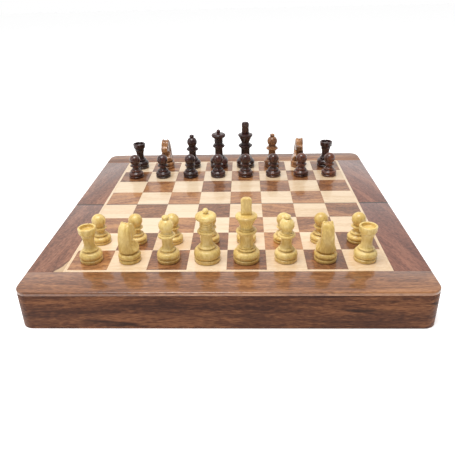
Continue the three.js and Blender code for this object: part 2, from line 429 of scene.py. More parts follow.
def fit_out(
    piece: bpy.types.Object,
    material: bpy.types.Material,
    body: str,
    stands_for: Iterable[str] = (),
) -> bpy.types.Object:
    """Gives a piece its material and its body, and hides the CAD nodes it stands for.

    Args:
        piece: The finished piece.
        material: Its one material.
        body: The CAD body it rides on.
        stands_for: CAD nodes that it replaces.

    Returns:
        The same piece.
    """
    piece.data.materials.clear()
    piece.data.materials.append(material)
    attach(piece, body)
    if stands_for:
        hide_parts(*stands_for)
    LOG.info("%s rides on %s", piece.name, body)
    return piece


# ---------------------------------------------------------------------------
# Node groups
# ---------------------------------------------------------------------------


class Graph:
    """Places and links the nodes of one material or node group."""

    def __init__(self, tree: bpy.types.NodeTree) -> None:
        """Starts on a tree, whose nodes are placed in a row as they come.

        Args:
            tree: The node tree to fill.
        """
        self.tree = tree
        self.count = 0

    def add(self, kind: str, inputs: Optional[dict] = None, **settings: object) -> bpy.types.Node:
        """Adds a node.

        Args:
            kind: The node's type.
            inputs: Socket name or number to a value, or to the socket that feeds it.
            **settings: The node's own properties.

        Returns:
            The new node.
        """
        node = self.tree.nodes.new(kind)
        node.location = (180 * (self.count % 8), -260 * (self.count // 8))
        self.count += 1
        for key, value in settings.items():
            setattr(node, key, value)
        for key, value in (inputs or {}).items():
            if isinstance(value, bpy.types.NodeSocket):
                self.tree.links.new(value, node.inputs[key])
            else:
                node.inputs[key].default_value = value
        return node

    def math(self, operation: str, *values: object, clamp: bool = False) -> bpy.types.NodeSocket:
        """A Math node's result.

        Args:
            operation: The node's operation.
            *values: Its inputs, numbers or sockets.
            clamp: Whether the result is kept from 0 to 1.

        Returns:
            The output socket.
        """
        node = self.add("ShaderNodeMath", dict(enumerate(values)), operation=operation)
        node.use_clamp = clamp
        return node.outputs[0]

    def vector(self, operation: str, *values: object) -> bpy.types.NodeSocket:
        """A Vector Math node's result, from numbers, vectors or sockets."""
        node = self.add("ShaderNodeVectorMath", dict(enumerate(values)), operation=operation)
        return node.outputs[0]

    def noise(
        self, vector: object, scale: object, detail: float = 2, roughness: float = 0.5,
        distortion: float = 0.0,
    ) -> bpy.types.NodeSocket:
        """A Noise Texture's value.

        Args:
            vector: The coordinates.
            scale: Features per metre.
            detail: Octaves.
            roughness: The share of each finer octave.
            distortion: How much the pattern is stirred.

        Returns:
            The value socket, about 0.5 in the middle.
        """
        node = self.add("ShaderNodeTexNoise", {
            "Vector": vector, "Scale": scale, "Detail": detail,
            "Roughness": roughness, "Distortion": distortion,
        })
        return node.outputs["Fac"]

    def spread(
        self, value: bpy.types.NodeSocket, low: float, high: float,
        to_low: float = 0.0, to_high: float = 1.0,
    ) -> bpy.types.NodeSocket:
        """Maps the range low to high onto another range, smoothly and without overshoot.

        Args:
            value: The value to map.
            low: What becomes to_low.
            high: What becomes to_high.
            to_low: The result at low.
            to_high: The result at high.

        Returns:
            The mapped value.
        """
        node = self.add("ShaderNodeMapRange", {
            "Value": value, "From Min": low, "From Max": high,
            "To Min": to_low, "To Max": to_high,
        }, interpolation_type="SMOOTHSTEP")
        return node.outputs[0]

    def ramp(
        self, value: bpy.types.NodeSocket, stops: Sequence[tuple[float, Colour]]
    ) -> bpy.types.NodeSocket:
        """A colour ramp's colour.

        Args:
            value: Where on the ramp.
            stops: Position and colour of each stop.

        Returns:
            The colour socket.
        """
        node = self.add("ShaderNodeValToRGB", {"Fac": value})
        elements = node.color_ramp.elements
        while len(elements) < len(stops):
            elements.new(0.5)
        for element, (position, colour) in zip(elements, stops):
            element.position = position
            element.color = (*colour, 1)
        return node.outputs["Color"]

    def mix(
        self, share: object, first: object, second: object, mode: str = "MIX"
    ) -> bpy.types.NodeSocket:
        """Two colours mixed.

        Args:
            share: How much of the second, 0 to 1.
            first: The first colour, or the socket that gives it.
            second: The second colour.
            mode: The blend mode.

        Returns:
            The mixed colour.
        """
        node = self.add("ShaderNodeMix", {"Factor": share}, data_type="RGBA", blend_type=mode)
        for socket, value in ((node.inputs[6], first), (node.inputs[7], second)):
            if isinstance(value, bpy.types.NodeSocket):
                self.tree.links.new(value, socket)
            else:
                socket.default_value = (*value, 1)
        return node.outputs[2]

    def place(self, turn_by: Grain = Grain.ALONG_X, lean: object = 0.0) -> bpy.types.NodeSocket:
        """Object coordinates, turned so that the grain runs along X.

        Args:
            turn_by: The way the grain runs on the piece.
            lean: How far it runs askew, in radians.

        Returns:
            The coordinates in metres.
        """
        where = self.add("ShaderNodeTexCoord").outputs["Object"]
        placed = self.add("ShaderNodeMapping", {"Vector": where, "Rotation": turn_by.value})
        askew = self.add("ShaderNodeVectorRotate", {"Vector": placed.outputs[0], "Angle": lean})
        askew.rotation_type = "Z_AXIS"
        return askew.outputs[0]


def new_group(
    name: str, takes: dict[str, object], gives: Sequence[str]
) -> tuple[bpy.types.NodeTree, Graph, object, bpy.types.Node]:
    """Starts a shader node group whose outputs are all values from 0 to 1.

    Args:
        name: The group's name.
        takes: Input names with their defaults; a None default is a vector.
        gives: Output names.

    Returns:
        The group's tree, its graph, its input sockets by name and its output node.
    """
    tree = bpy.data.node_groups.new(name, "ShaderNodeTree")
    for label, default in takes.items():
        kind = "NodeSocketVector" if default is None else "NodeSocketFloat"
        socket = tree.interface.new_socket(label, in_out="INPUT", socket_type=kind)
        if default is not None:
            socket.default_value = default
    for label in gives:
        tree.interface.new_socket(label, in_out="OUTPUT", socket_type="NodeSocketFloat")
    graph = Graph(tree)
    inputs = graph.add("NodeGroupInput").outputs
    return tree, graph, inputs, graph.add("NodeGroupOutput")


def plank_grain() -> bpy.types.NodeTree:
    """The figure of a plank whose grain runs along X, built once.

    Returns:
        A group that gives Bands (growth lines), Streaks (dark heartwood) and Pores.
    """
    name = "plank_grain"
    if name in bpy.data.node_groups:
        return bpy.data.node_groups[name]
    takes = {"Vector": None, "Seed": 0.0, "Stretch": 9.0, "Band Scale": 200.0, "Pore Scale": 1500.0}
    tree, graph, inputs, out = new_group(name, takes, ("Bands", "Streaks", "Pores"))
    apart = graph.add("ShaderNodeSeparateXYZ", {"Vector": inputs["Vector"]}).outputs
    along = graph.math("DIVIDE", apart[0], inputs["Stretch"])
    shifted = graph.math("ADD", along, graph.math("MULTIPLY", inputs["Seed"], 0.731))
    across = graph.math("ADD", apart[1], graph.math("MULTIPLY", inputs["Seed"], 0.377))
    flat = graph.add("ShaderNodeCombineXYZ", {0: shifted, 1: across, 2: apart[2]}).outputs[0]
    sway = graph.noise(flat, 70.0, detail=2)
    drift = graph.math("MULTIPLY", graph.math("SUBTRACT", sway, 0.5), 0.016)
    swayed = graph.add("ShaderNodeCombineXYZ", {
        0: shifted,
        1: graph.math("ADD", across, drift),
        2: graph.math("ADD", apart[2], drift),
    }).outputs[0]
    broad = graph.noise(swayed, graph.math("MULTIPLY", inputs["Band Scale"], 0.3), detail=2)
    lines = graph.noise(swayed, inputs["Band Scale"], detail=4, roughness=0.6, distortion=0.35)
    fine_place = graph.vector("MULTIPLY", swayed, (2.2, 1.0, 1.0))
    fine = graph.noise(fine_place, graph.math("MULTIPLY", inputs["Band Scale"], 5.0), detail=3)
    figure = graph.math("MULTIPLY_ADD", lines, 0.5, graph.math("MULTIPLY", broad, 0.5))
    figure = graph.math("MULTIPLY_ADD", graph.math("SUBTRACT", fine, 0.5), 0.45, figure)
    streak_lines = graph.noise(swayed, graph.math("MULTIPLY", inputs["Band Scale"], 0.9), detail=3)
    heartwood = graph.spread(streak_lines, 0.54, 0.68)
    streaks = graph.math("MULTIPLY", heartwood, graph.spread(broad, 0.42, 0.6))
    pore_place = graph.vector("MULTIPLY", swayed, (0.9, 1.0, 1.0))
    pores = graph.noise(pore_place, inputs["Pore Scale"], detail=1)
    graph.tree.links.new(graph.spread(figure, 0.3, 0.7), out.inputs["Bands"])
    graph.tree.links.new(streaks, out.inputs["Streaks"])
    graph.tree.links.new(graph.spread(pores, 0.55, 0.7), out.inputs["Pores"])
    return tree


def square_seed() -> bpy.types.NodeTree:
    """A number of its own for each square of the board, built once.

    Returns:
        A group that gives Seed, from 0 to 1, alike all over one square.
    """
    name = "square_seed"
    if name in bpy.data.node_groups:
        return bpy.data.node_groups[name]
    tree, graph, inputs, out = new_group(name, {"Vector": None}, ("Seed",))
    counted = graph.vector("DIVIDE", inputs["Vector"], (SQUARE, SQUARE, 1.0))
    cell = graph.vector("FLOOR", counted)
    level = graph.vector("MULTIPLY", cell, (1.0, 1.0, 0.0))
    chance = graph.add("ShaderNodeTexWhiteNoise", {"Vector": level}, noise_dimensions="3D")
    graph.tree.links.new(chance.outputs["Value"], out.inputs["Seed"])
    return tree


def handling() -> bpy.types.NodeTree:
    """Rubbed edges, painted shade in the hollows and the uneven sheen that fingers leave, built
    once.

    Returns:
        A group that gives Wear at the edges, painted shade in the hollows and Smear all over.
    """
    name = "handling"
    if name in bpy.data.node_groups:
        return bpy.data.node_groups[name]
    takes = {"Vector": None, "Edge Start": 0.52, "Hollow Start": 0.485}
    tree, graph, inputs, out = new_group(name, takes, ("Wear", "Grime", "Smear"))
    bulge = graph.add("ShaderNodeNewGeometry").outputs["Pointiness"]
    edge = graph.math("SUBTRACT", bulge, inputs["Edge Start"])
    sharp = graph.math("MULTIPLY", edge, 14.0, clamp=True)
    # Painted shade: this mask grows where the surface dips below Hollow Start, in hollows and
    # creases.
    dip = graph.math("SUBTRACT", inputs["Hollow Start"], bulge)
    painted_shade = graph.math("MULTIPLY", dip, 12.0, clamp=True)
    patches = graph.noise(inputs["Vector"], 420.0, detail=3)
    wear = graph.math("MULTIPLY", sharp, graph.spread(patches, 0.4, 0.62))
    smear = graph.noise(inputs["Vector"], 60.0, detail=3, roughness=0.6)
    graph.tree.links.new(wear, out.inputs["Wear"])
    graph.tree.links.new(painted_shade, out.inputs["Grime"])
    graph.tree.links.new(graph.spread(smear, 0.3, 0.7), out.inputs["Smear"])
    return tree


def use_group(graph: Graph, tree: bpy.types.NodeTree, inputs: dict) -> bpy.types.Node:
    """Places a node group in a material.

    Args:
        graph: The material's graph.
        tree: The group.
        inputs: The group's inputs, by name.

    Returns:
        The group node.
    """
    node = graph.add("ShaderNodeGroup", node_tree=tree)
    for label, value in inputs.items():
        if isinstance(value, bpy.types.NodeSocket):
            graph.tree.links.new(value, node.inputs[label])
        else:
            node.inputs[label].default_value = value
    return node


# ---------------------------------------------------------------------------
# Finishes
# ---------------------------------------------------------------------------


def srgb(red: int, green: int, blue: int) -> Colour:
    """A display colour in the linear values that shaders take.

    Args:
        red: Its red, 0 to 255.
        green: Its green.
        blue: Its blue.

    Returns:
        The three linear values, 0 to 1.
    """
    def linear(value: int) -> float:
        """One of the three, made linear."""
        share = value / 255
        return share / 12.92 if share <= 0.04045 else ((share + 0.055) / 1.055) ** 2.4

    return linear(red), linear(green), linear(blue)


# Near-black of the painted shade along the fold, where the two halves meet.
FOLD_SHADE: Colour = (0.01, 0.008, 0.007)


@dataclass(frozen=True)
class Finish:
    """What every finish has: a material that is built once.

    Attributes:
        name: The material's name.
    """

    name: str

    def material(self) -> bpy.types.Material:
        """The material, built the first time it is asked for.

        Returns:
            The material that bears the finish's name.
        """
        if self.name in bpy.data.materials:
            return bpy.data.materials[self.name]
        material = bpy.data.materials.new(self.name)
        material.use_nodes = True
        material.node_tree.nodes.clear()
        graph = Graph(material.node_tree)
        graph.add("ShaderNodeOutputMaterial", {"Surface": self.surface(graph)})
        return material

    def surface(self, graph: Graph) -> bpy.types.NodeSocket:
        """The shader that a kind of finish is made of, which each kind gives itself."""
        raise NotImplementedError(self.name)


@dataclass(frozen=True)
class Lacquer:
    """The clear coat on a finish.

    Attributes:
        roughness: How dull the wood under it is.
        shine: How strongly the wood itself reflects, 0.5 for most woods.
        coat: How much clear coat lies on it.
        coat_roughness: How dull that coat is.
        relief: How far the grain stands in the surface, in metres.
    """

    roughness: float = 0.38
    shine: float = 0.35
    coat: float = 0.8
    coat_roughness: float = 0.08
    relief: float = 0.00003


@dataclass(frozen=True)
class WoodFinish(Finish):
    """A lacquered wood with grain, heartwood streaks, pores, painted shade in its hollows and
    rubbed edges.

    Attributes:
        light: The palest growth lines.
        middle: The body of the wood.
        dark: The darkest growth lines.
        streak: The heartwood streaks.
        streaks: How strong the streaks are.
        pores: How strong the pores are.
        grain: The way the grain runs.
        lean: How far it runs askew, in radians.
        seed: Which part of the tree the plank comes from.
        by_square: Whether each square of the board is a plank of its own.
        stretch: How many times longer than wide the figure is.
        band_scale: Growth lines per metre.
        pore_scale: Pores per metre.
        variety: How much the tone changes from square to square.
        fold: How dark the painted shade line is where the two halves meet.
        sapwood: Corner of a pale sapwood patch, where the plank has one.
        patch: How far that patch reaches across and along the plank.
        lacquer: The coat.
    """

    light: Colour
    middle: Colour
    dark: Colour
    streak: Colour
    streaks: float = 0.6
    pores: float = 0.35
    grain: Grain = Grain.ALONG_X
    lean: float = 0.0
    seed: float = 0.0
    by_square: bool = False
    stretch: float = 9.0
    band_scale: float = 200.0
    pore_scale: float = 1500.0
    variety: float = 0.0
    fold: float = 0.0
    sapwood: Optional[Point] = None
    patch: Point = (9.5 * MM, 21 * MM)
    lacquer: Lacquer = field(default_factory=Lacquer)

    def surface(self, graph: Graph) -> bpy.types.NodeSocket:
        """The wood's shader: its colour, sheen and relief under the clear coat.

        Args:
            graph: The material's graph.

        Returns:
            The shader's output socket.
        """
        seed, lean, tone = self.chances(graph)
        where = graph.place(self.grain, lean)
        figure = use_group(graph, plank_grain(), {
            "Vector": where, "Seed": seed, "Stretch": self.stretch,
            "Band Scale": self.band_scale, "Pore Scale": self.pore_scale,
        }).outputs
        wear_and_shade = use_group(graph, handling(), {"Vector": where}).outputs
        bands = graph.math("ADD", figure["Bands"], tone, clamp=True)
        wood = graph.ramp(bands, ((0.05, self.dark), (0.5, self.middle), (0.95, self.light)))
        for share, strength, colour in (
            (figure["Streaks"], self.streaks, self.streak),
            (figure["Pores"], self.pores, self.streak),
            # Painted shade: the hollows are darkened towards the streak colour.
            (wear_and_shade["Grime"], 0.55, self.streak),
            (wear_and_shade["Wear"], 0.3, self.light),
        ):
            wood = graph.mix(graph.math("MULTIPLY", share, strength), wood, colour)
        wood = self.local_marks(graph, wood)
        dull = graph.math("MULTIPLY_ADD", wear_and_shade["Smear"], 0.08, self.lacquer.roughness - 0.04)
        dull = graph.math("MULTIPLY_ADD", figure["Pores"], 0.12, dull)
        height = graph.math("MULTIPLY_ADD", figure["Pores"], -0.8, graph.math(
            "MULTIPLY", figure["Bands"], 0.25))
        bump = graph.add("ShaderNodeBump", {
            "Strength": 0.35, "Distance": self.lacquer.relief, "Height": height,
        })
        shader = graph.add("ShaderNodeBsdfPrincipled", {
            "Base Color": wood, "Roughness": dull, "Normal": bump.outputs[0],
            "Specular IOR Level": self.lacquer.shine, "Coat Weight": self.lacquer.coat,
            "Coat Roughness": self.lacquer.coat_roughness, "IOR": 1.5,
        })
        return shader.outputs[0]

    def local_marks(self, graph: Graph, wood: bpy.types.NodeSocket) -> bpy.types.NodeSocket:
        """Lays the painted shade along the fold and the sapwood patch over the wood, where the
        plank has them.

        Args:
            graph: The material's graph.
            wood: The wood's colour so far.

        Returns:
            The colour with the marks on it.
        """
        if not self.fold and not self.sapwood:
            return wood
        apart = graph.add("ShaderNodeSeparateXYZ", {"Vector": graph.place()}).outputs
        if self.sapwood:
            aside = graph.math("SUBTRACT", self.sapwood[0], apart[0])
            across = graph.math("DIVIDE", aside, self.patch[0])
            ahead = graph.math("SUBTRACT", apart[1], self.sapwood[1])
            along = graph.math("DIVIDE", ahead, self.patch[1])
            reach = graph.math("ADD", graph.math("POWER", across, 0.6), along)
            ragged = graph.math("MULTIPLY_ADD", graph.noise(graph.place(), 160.0), 0.35, reach)
            edge = graph.spread(ragged, 1.05, 1.4, 0.55, 0.0)
            wood = graph.mix(edge, wood, self.streak)
            wood = graph.mix(graph.spread(ragged, 0.98, 1.1, 0.8, 0.0), wood, MAPLE["dark"])
        # Painted shade: a dark line along the fold, where the two halves meet.
        away = graph.math("ABSOLUTE", apart[1])
        painted_shade = graph.spread(away, 0.7 * MM, 1.6 * MM, self.fold, 0.0)
        return graph.mix(painted_shade, wood, FOLD_SHADE)

    def chances(self, graph: Graph) -> tuple[object, object, object]:
        """Seed, lean and tone of the plank, drawn for each square where it is by_square.

        Args:
            graph: The material's graph.

        Returns:
            The three, as numbers or as sockets.
        """
        if not self.by_square:
            return self.seed, self.lean, 0.0
        chance = use_group(graph, square_seed(), {"Vector": graph.place()}).outputs["Seed"]
        other = graph.math("FRACT", graph.math("MULTIPLY", chance, 37.7))
        third = graph.math("FRACT", graph.math("MULTIPLY", chance, 91.3))
        seed = graph.math("MULTIPLY_ADD", chance, 9.0, self.seed)
        lean = graph.math("MULTIPLY", graph.math("SUBTRACT", other, 0.5), 2 * self.lean)
        tone = graph.math("MULTIPLY", graph.math("SUBTRACT", third, 0.5), self.variety)
        return seed, lean, tone


@dataclass(frozen=True)
class ClothFinish(Finish):
    """A napped cloth, such as velvet or felt.

    Attributes:
        base: The cloth's colour.
        lit: Its colour where the pile lies towards the light.
        pile_scale: Tufts per metre.
        sheen: How strongly the pile catches light at a glance.
        relief: The pile's height in metres.
    """

    base: Colour
    lit: Colour
    pile_scale: float = 2600.0
    sheen: float = 0.6
    relief: float = 0.0003

    def surface(self, graph: Graph) -> bpy.types.NodeSocket:
        """The cloth's shader: tufts, brushed patches and sheen.

        Args:
            graph: The material's graph.

        Returns:
            The shader's output socket.
        """
        where = graph.place()
        tufts = graph.noise(where, self.pile_scale, detail=3, roughness=0.7)
        brushed = graph.noise(where, 45.0, detail=3, distortion=0.8)
        lifted = graph.spread(tufts, 0.3, 0.7)
        share = graph.math("MULTIPLY", lifted, graph.spread(brushed, 0.35, 0.65))
        colour = graph.mix(share, self.base, self.lit)
        rough = graph.math("MULTIPLY_ADD", tufts, 0.1, 0.86)
        bump = graph.add("ShaderNodeBump", {
            "Strength": 0.7, "Distance": self.relief, "Height": tufts,
        })
        shader = graph.add("ShaderNodeBsdfPrincipled", {
            "Base Color": colour, "Roughness": rough, "Normal": bump.outputs[0],
            "Sheen Weight": self.sheen, "Sheen Roughness": 0.4,
        })
        return shader.outputs[0]


@dataclass(frozen=True)
class MetalFinish(Finish):
    """A plain metal with fine brush lines, tarnish and rubbed edges.

    Attributes:
        bright: The clean metal.
        tarnished: The dulled metal.
        roughness: How dull it is on the whole.
        brush_scale: Brush lines per metre.
    """

    bright: Colour
    tarnished: Colour
    roughness: float = 0.3
    brush_scale: float = 5200.0

    def surface(self, graph: Graph) -> bpy.types.NodeSocket:
        """The metal's shader: brush lines, tarnish and rubbed edges.

        Args:
            graph: The material's graph.

        Returns:
            The shader's output socket.
        """
        where = graph.place()
        drawn = graph.vector("MULTIPLY", where, (0.04, 1.0, 1.0))
        lines = graph.noise(drawn, self.brush_scale, detail=2)
        dirt = graph.noise(where, 190.0, detail=4, roughness=0.65)
        wear_and_shade = use_group(graph, handling(), {"Vector": where}).outputs
        tarnish = graph.spread(dirt, 0.42, 0.68)
        colour = graph.mix(tarnish, self.bright, self.tarnished)
        colour = graph.mix(wear_and_shade["Wear"], colour, self.bright)
        rough = graph.math("MULTIPLY_ADD", tarnish, 0.2, self.roughness)
        rough = graph.math("MULTIPLY_ADD", lines, 0.12, rough)
        bump = graph.add("ShaderNodeBump", {
            "Strength": 0.25, "Distance": 0.00002, "Height": lines,
        })
        shader = graph.add("ShaderNodeBsdfPrincipled", {
            "Base Color": colour, "Metallic": 1.0, "Roughness": rough,
            "Normal": bump.outputs[0],
        })
        return shader.outputs[0]


SHEESHAM = {
    "light": srgb(174, 120, 78), "middle": srgb(138, 88, 54),
    "dark": srgb(100, 60, 38), "streak": srgb(58, 34, 26),
}
# Darker sheesham of the upright walls: partly a darker plank, partly painted shade of faces turned
# away from the light.
SHEESHAM_SHADED_WALL = {
    "light": srgb(142, 92, 60), "middle": srgb(104, 64, 43),
    "dark": srgb(68, 40, 30), "streak": srgb(38, 22, 20),
}
SHEESHAM_ROSY = {
    "light": srgb(164, 114, 88), "middle": srgb(130, 84, 63),
    "dark": srgb(98, 60, 46), "streak": srgb(66, 42, 36),
}
SHEESHAM_PLUM = {
    "light": srgb(156, 104, 82), "middle": srgb(124, 77, 62),
    "dark": srgb(96, 58, 49), "streak": srgb(68, 40, 36),
}
SHEESHAM_SQUARE = {
    "light": srgb(192, 136, 86), "middle": srgb(146, 94, 58),
    "dark": srgb(102, 63, 40), "streak": srgb(68, 40, 28),
}
MAPLE = {
    "light": srgb(240, 216, 184), "middle": srgb(232, 205, 170),
    "dark": srgb(220, 188, 148), "streak": srgb(198, 158, 116),
}
BOXWOOD = {
    "light": srgb(242, 214, 142), "middle": srgb(230, 198, 118),
    "dark": srgb(209, 172, 94), "streak": srgb(146, 102, 42),
}
DARK_WOODS = {
    Tone.EBONY: {
        "light": srgb(84, 45, 38), "middle": srgb(58, 31, 28),
        "dark": srgb(39, 22, 21), "streak": srgb(20, 11, 12),
    },
    Tone.RUSSET: {
        "light": srgb(128, 75, 51), "middle": srgb(88, 50, 38),
        "dark": srgb(58, 32, 27), "streak": srgb(29, 15, 13),
    },
    Tone.TAN: {
        "light": srgb(188, 136, 90), "middle": srgb(142, 94, 58),
        "dark": srgb(86, 52, 32), "streak": srgb(38, 21, 15),
    },
}


def sheesham(
    name: str, grain: Grain, seed: float, tones: dict = SHEESHAM, **more: object
) -> WoodFinish:
    """A sheesham plank.

    Args:
        name: What the plank is for.
        grain: The way its grain runs.
        seed: Which part of the tree it comes from.
        tones: Its four colours.
        **more: Other fields of the finish.

    Returns:
        The finish.
    """
    return WoodFinish(name=f"sheesham_{name}", grain=grain, seed=seed, **{**tones, **more})


VELVET = ClothFinish("green_velvet", srgb(16, 54, 38), srgb(48, 108, 78))
FELT = ClothFinish("foot_felt", srgb(28, 52, 34), srgb(48, 82, 56), pile_scale=4200.0, sheen=0.25)
BRASS = MetalFinish("hinge_brass", srgb(214, 176, 98), srgb(148, 112, 58))
SCREW_BRASS = MetalFinish("screw_brass", srgb(222, 184, 106), srgb(150, 116, 62), roughness=0.24)
MAGNET = MetalFinish("nickel_magnet", srgb(198, 198, 200), srgb(140, 138, 134), roughness=0.18)
SHEET_STEEL = MetalFinish("sheet_steel", srgb(168, 170, 172), srgb(120, 120, 120), roughness=0.34)
PLYWOOD = WoodFinish(
    "plywood", srgb(222, 192, 146), srgb(206, 172, 124), srgb(186, 150, 102), srgb(150, 112, 72),
    streaks=0.25, seed=4.4, lacquer=Lacquer(roughness=0.7, coat=0.0, relief=0.00008),
)
WALL_LACQUER = Lacquer(roughness=0.45, shine=0.12, coat=0.04, coat_roughness=0.2)


def dress(node: str, finish: Finish) -> None:
    """Gives its finish to a CAD node that keeps its shape.

    Args:
        node: The node's name.
        finish: What it is finished in.
    """
    shape = frame["nodes"][node]
    shape.data.materials.clear()
    shape.data.materials.append(finish.material())
    LOG.info("%s dressed", shape.name)


# ---------------------------------------------------------------------------
# The board
# ---------------------------------------------------------------------------


@dataclass
class BoardHalf:
    """One half of the board: a shallow box with the playing field on top.

    Attributes:
        side: Front or rear.
        corner_radius: Of the set's rounded corners, in plan.
        lip_middle: Where the two halves' rims lap, from the middle of the board.
        lip_gap: From each lip to that line.
        rebate: How high the rims lap.
        edge: Rounding of plain edges.
        board_edge: Rounding of the border boards' outer top edges.
        tile_edge: Rounding round each square.
        fold_edge: Rounding of the border boards' ends at the fold.
        well_edge: Rounding of the velvet insert's edges.
        lining_thick: Thickness of the velvet glued on the panel.
    """

    side: Side
    corner_radius: float = 9.9 * MM
    lip_middle: float = 145 * MM
    lip_gap: float = 0.25 * MM
    rebate: float = 3.6 * MM
    edge: float = 0.7 * MM
    board_edge: float = 1.1 * MM
    tile_edge: float = 0.14 * MM
    fold_edge: float = 0.7 * MM
    well_edge: float = 1.6 * MM
    lining_thick: float = 0.4 * MM

    def node(self, part: str) -> str:
        """The name of one of this half's CAD nodes."""
        return f"{self.side.label}_{part}"

    def build(self) -> None:
        """Makes and dresses every piece of this half."""
        self.walls()
        self.fold_wall()
        self.borders()
        self.string()
        self.squares()
        self.storage()
        self.closing_magnets()
        self.hidden_sheets()

    def rim_cutters(self) -> list[Box]:
        """What is cut from the walls' foot, so that the two rims lap when the box is shut.

        Returns:
            The boxes to cut away: one inside the front half's rim, three round the rear's.
        """
        if self.side is Side.FRONT:
            edge = self.lip_middle + self.lip_gap
            return [(Vector((-edge, -edge, -PAST)), Vector((edge, PAST, self.rebate)))]
        edge, reach = self.lip_middle - self.lip_gap, self.lip_middle + 10 * MM
        return [
            (Vector((x0, y0, -PAST)), Vector((x1, reach, self.rebate)))
            for x0, x1, y0 in ((edge, reach, -PAST), (-reach, -edge, -PAST), (-reach, reach, edge))
        ]

    def carve_rim(self, wall: bpy.types.Object, node: str) -> None:
        """Cuts the lapping rim from a wall that is still a plain blank.

        Args:
            wall: The blank.
            node: The wall's CAD node.
        """
        low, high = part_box(node)
        for start, end in self.rim_cutters():
            if all(start[k] < high[k] and end[k] > low[k] for k in range(3)):
                combine(wall, block("rim_cutter", start, end), "DIFFERENCE")

    def round_corners(self, piece: bpy.types.Object) -> None:
        """Rounds a cross board's two outer corners in plan.

        Args:
            piece: The cross board, a plain blank.
        """
        low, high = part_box(self.node("wall"))
        outer = low.y if self.side is Side.FRONT else high.y

        def on_corner(first: Vector, second: Vector) -> bool:
            """Whether an edge stands upright at an outer corner.

            Args:
                first: The edge's one end.
                second: Its other end.

            Returns:
                Whether it is to be rounded.
            """
            at_end = abs(abs(first.x) - high.x) < TOUCH and abs(first.y - outer) < TOUCH
            return at_end and is_upright(first, second) and abs(first.z - second.z) > MM

        bevel_edges(piece, on_corner, self.corner_radius, 12)

    def walls(self) -> None:
        """The far wall and the two side walls, with their lapping rims."""
        label = self.side.label
        # The walls take the darker sheesham, which holds painted shade of their upright faces.
        finishes = {
            "wall": sheesham(
                f"{label}_wall", Grain.ALONG_X, 1.3 * self.side.value + 2.2, SHEESHAM_SHADED_WALL,
                streaks=0.85, stretch=13.0, band_scale=260.0, lacquer=WALL_LACQUER),
            "left_wall": sheesham(
                f"{label}_left_wall", Grain.ALONG_Y, 3.1, SHEESHAM_SHADED_WALL, lacquer=WALL_LACQUER),
            "right_wall": sheesham(
                f"{label}_right_wall", Grain.ALONG_Y, 5.7, SHEESHAM_SHADED_WALL, lacquer=WALL_LACQUER),
        }
        for part, finish in finishes.items():
            node = self.node(part)
            low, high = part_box(node)
            wall = block(f"{node}_board", (low.x, low.y, 0.0), high)
            self.carve_rim(wall, node)
            if part == "wall":
                self.round_corners(wall)
            soften(wall, self.edge, segments=3)
            shade(wall)
            fit_out(wall, finish.material(), self.side.body, [node])

    def fold_wall(self) -> None:
        """The wall under the fold, with a mortise for each hinge leaf and its knuckles."""
        node = self.node("fold_wall")
        low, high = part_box(node)
        wall = block(f"{node}_board", low, high)
        sign, clear, knuckle_clear, half_leaf = self.side.value, 0.25 * MM, 0.3 * MM, 1.1 * MM
        for hinge in HINGES:
            leaf_low, leaf_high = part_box(f"{hinge}_{self.side.label}_leaf")
            axis = (leaf_low.z + leaf_high.z) / 2
            knuckle = min(abs(leaf_low.y), abs(leaf_high.y)) + knuckle_clear
            mortises = (
                (high.y - low.y + PAST, axis + half_leaf + clear),
                (knuckle, leaf_high.z + knuckle_clear),
            )
            for depth, top in mortises:
                ends = sorted((-sign * PAST, sign * depth))
                cutter = block(
                    "mortise_cutter", (leaf_low.x - clear, ends[0], -PAST),
                    (leaf_high.x + clear, ends[1], top),
                )
                combine(wall, cutter, "DIFFERENCE")
        soften(wall, 0.25 * MM)
        shade(wall)
        # The darker wall sheesham, with its painted shade.
        finish = sheesham(f"{self.side.label}_fold_wall", Grain.ALONG_X, 7.9, SHEESHAM_SHADED_WALL)
        fit_out(wall, finish.material(), self.side.body, [node])

    def borders(self) -> None:
        """The far border board with its rounded corners, and the two side borders."""
        label = self.side.label
        finishes = {
            "border": sheesham(f"{label}_border", Grain.ALONG_X, 2.9 + self.side.value, SHEESHAM,
                               streaks=0.25, band_scale=250.0, stretch=11.0),
            "left_border": sheesham(
                f"{label}_left_border", Grain.ALONG_Y, 6.3 + self.side.value, SHEESHAM_ROSY,
                streaks=0.3, lean=0.14, band_scale=150.0, fold=0.9, sapwood=self.sapwood()),
            "right_border": sheesham(
                f"{label}_right_border", Grain.ALONG_Y, 8.8 + self.side.value, SHEESHAM_PLUM,
                streaks=0.3, lean=-0.3, band_scale=210.0, fold=0.9),
        }
        for part, finish in finishes.items():
            node = self.node(part)
            low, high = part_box(node)
            board = block(f"{node}_board", low, high)
            if part == "border":
                self.round_corners(board)
            self.round_rim(board, part, high.z)
            if part != "border":
                self.ease_fold(board, high.z)
            soften(board, 0.3 * MM)
            shade(board)
            fit_out(board, finish.material(), self.side.body, [node])

    def sapwood(self) -> Optional[Point]:
        """Where the front left border's plank has a pale patch.

        Returns:
            X and Y of its inner front corner, or None for the rear half.
        """
        if self.side is Side.REAR:
            return None
        low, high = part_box(self.node("left_border"))
        return high.x, low.y

    def round_rim(self, board: bpy.types.Object, part: str, top: float) -> None:
        """Rounds a border board's top edge where it is the outer edge of the set.

        Args:
            board: The border board.
            part: Which border it is.
            top: The height of its top face.
        """
        low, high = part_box(self.node("border"))
        inner_y = high.y if self.side is Side.FRONT else low.y

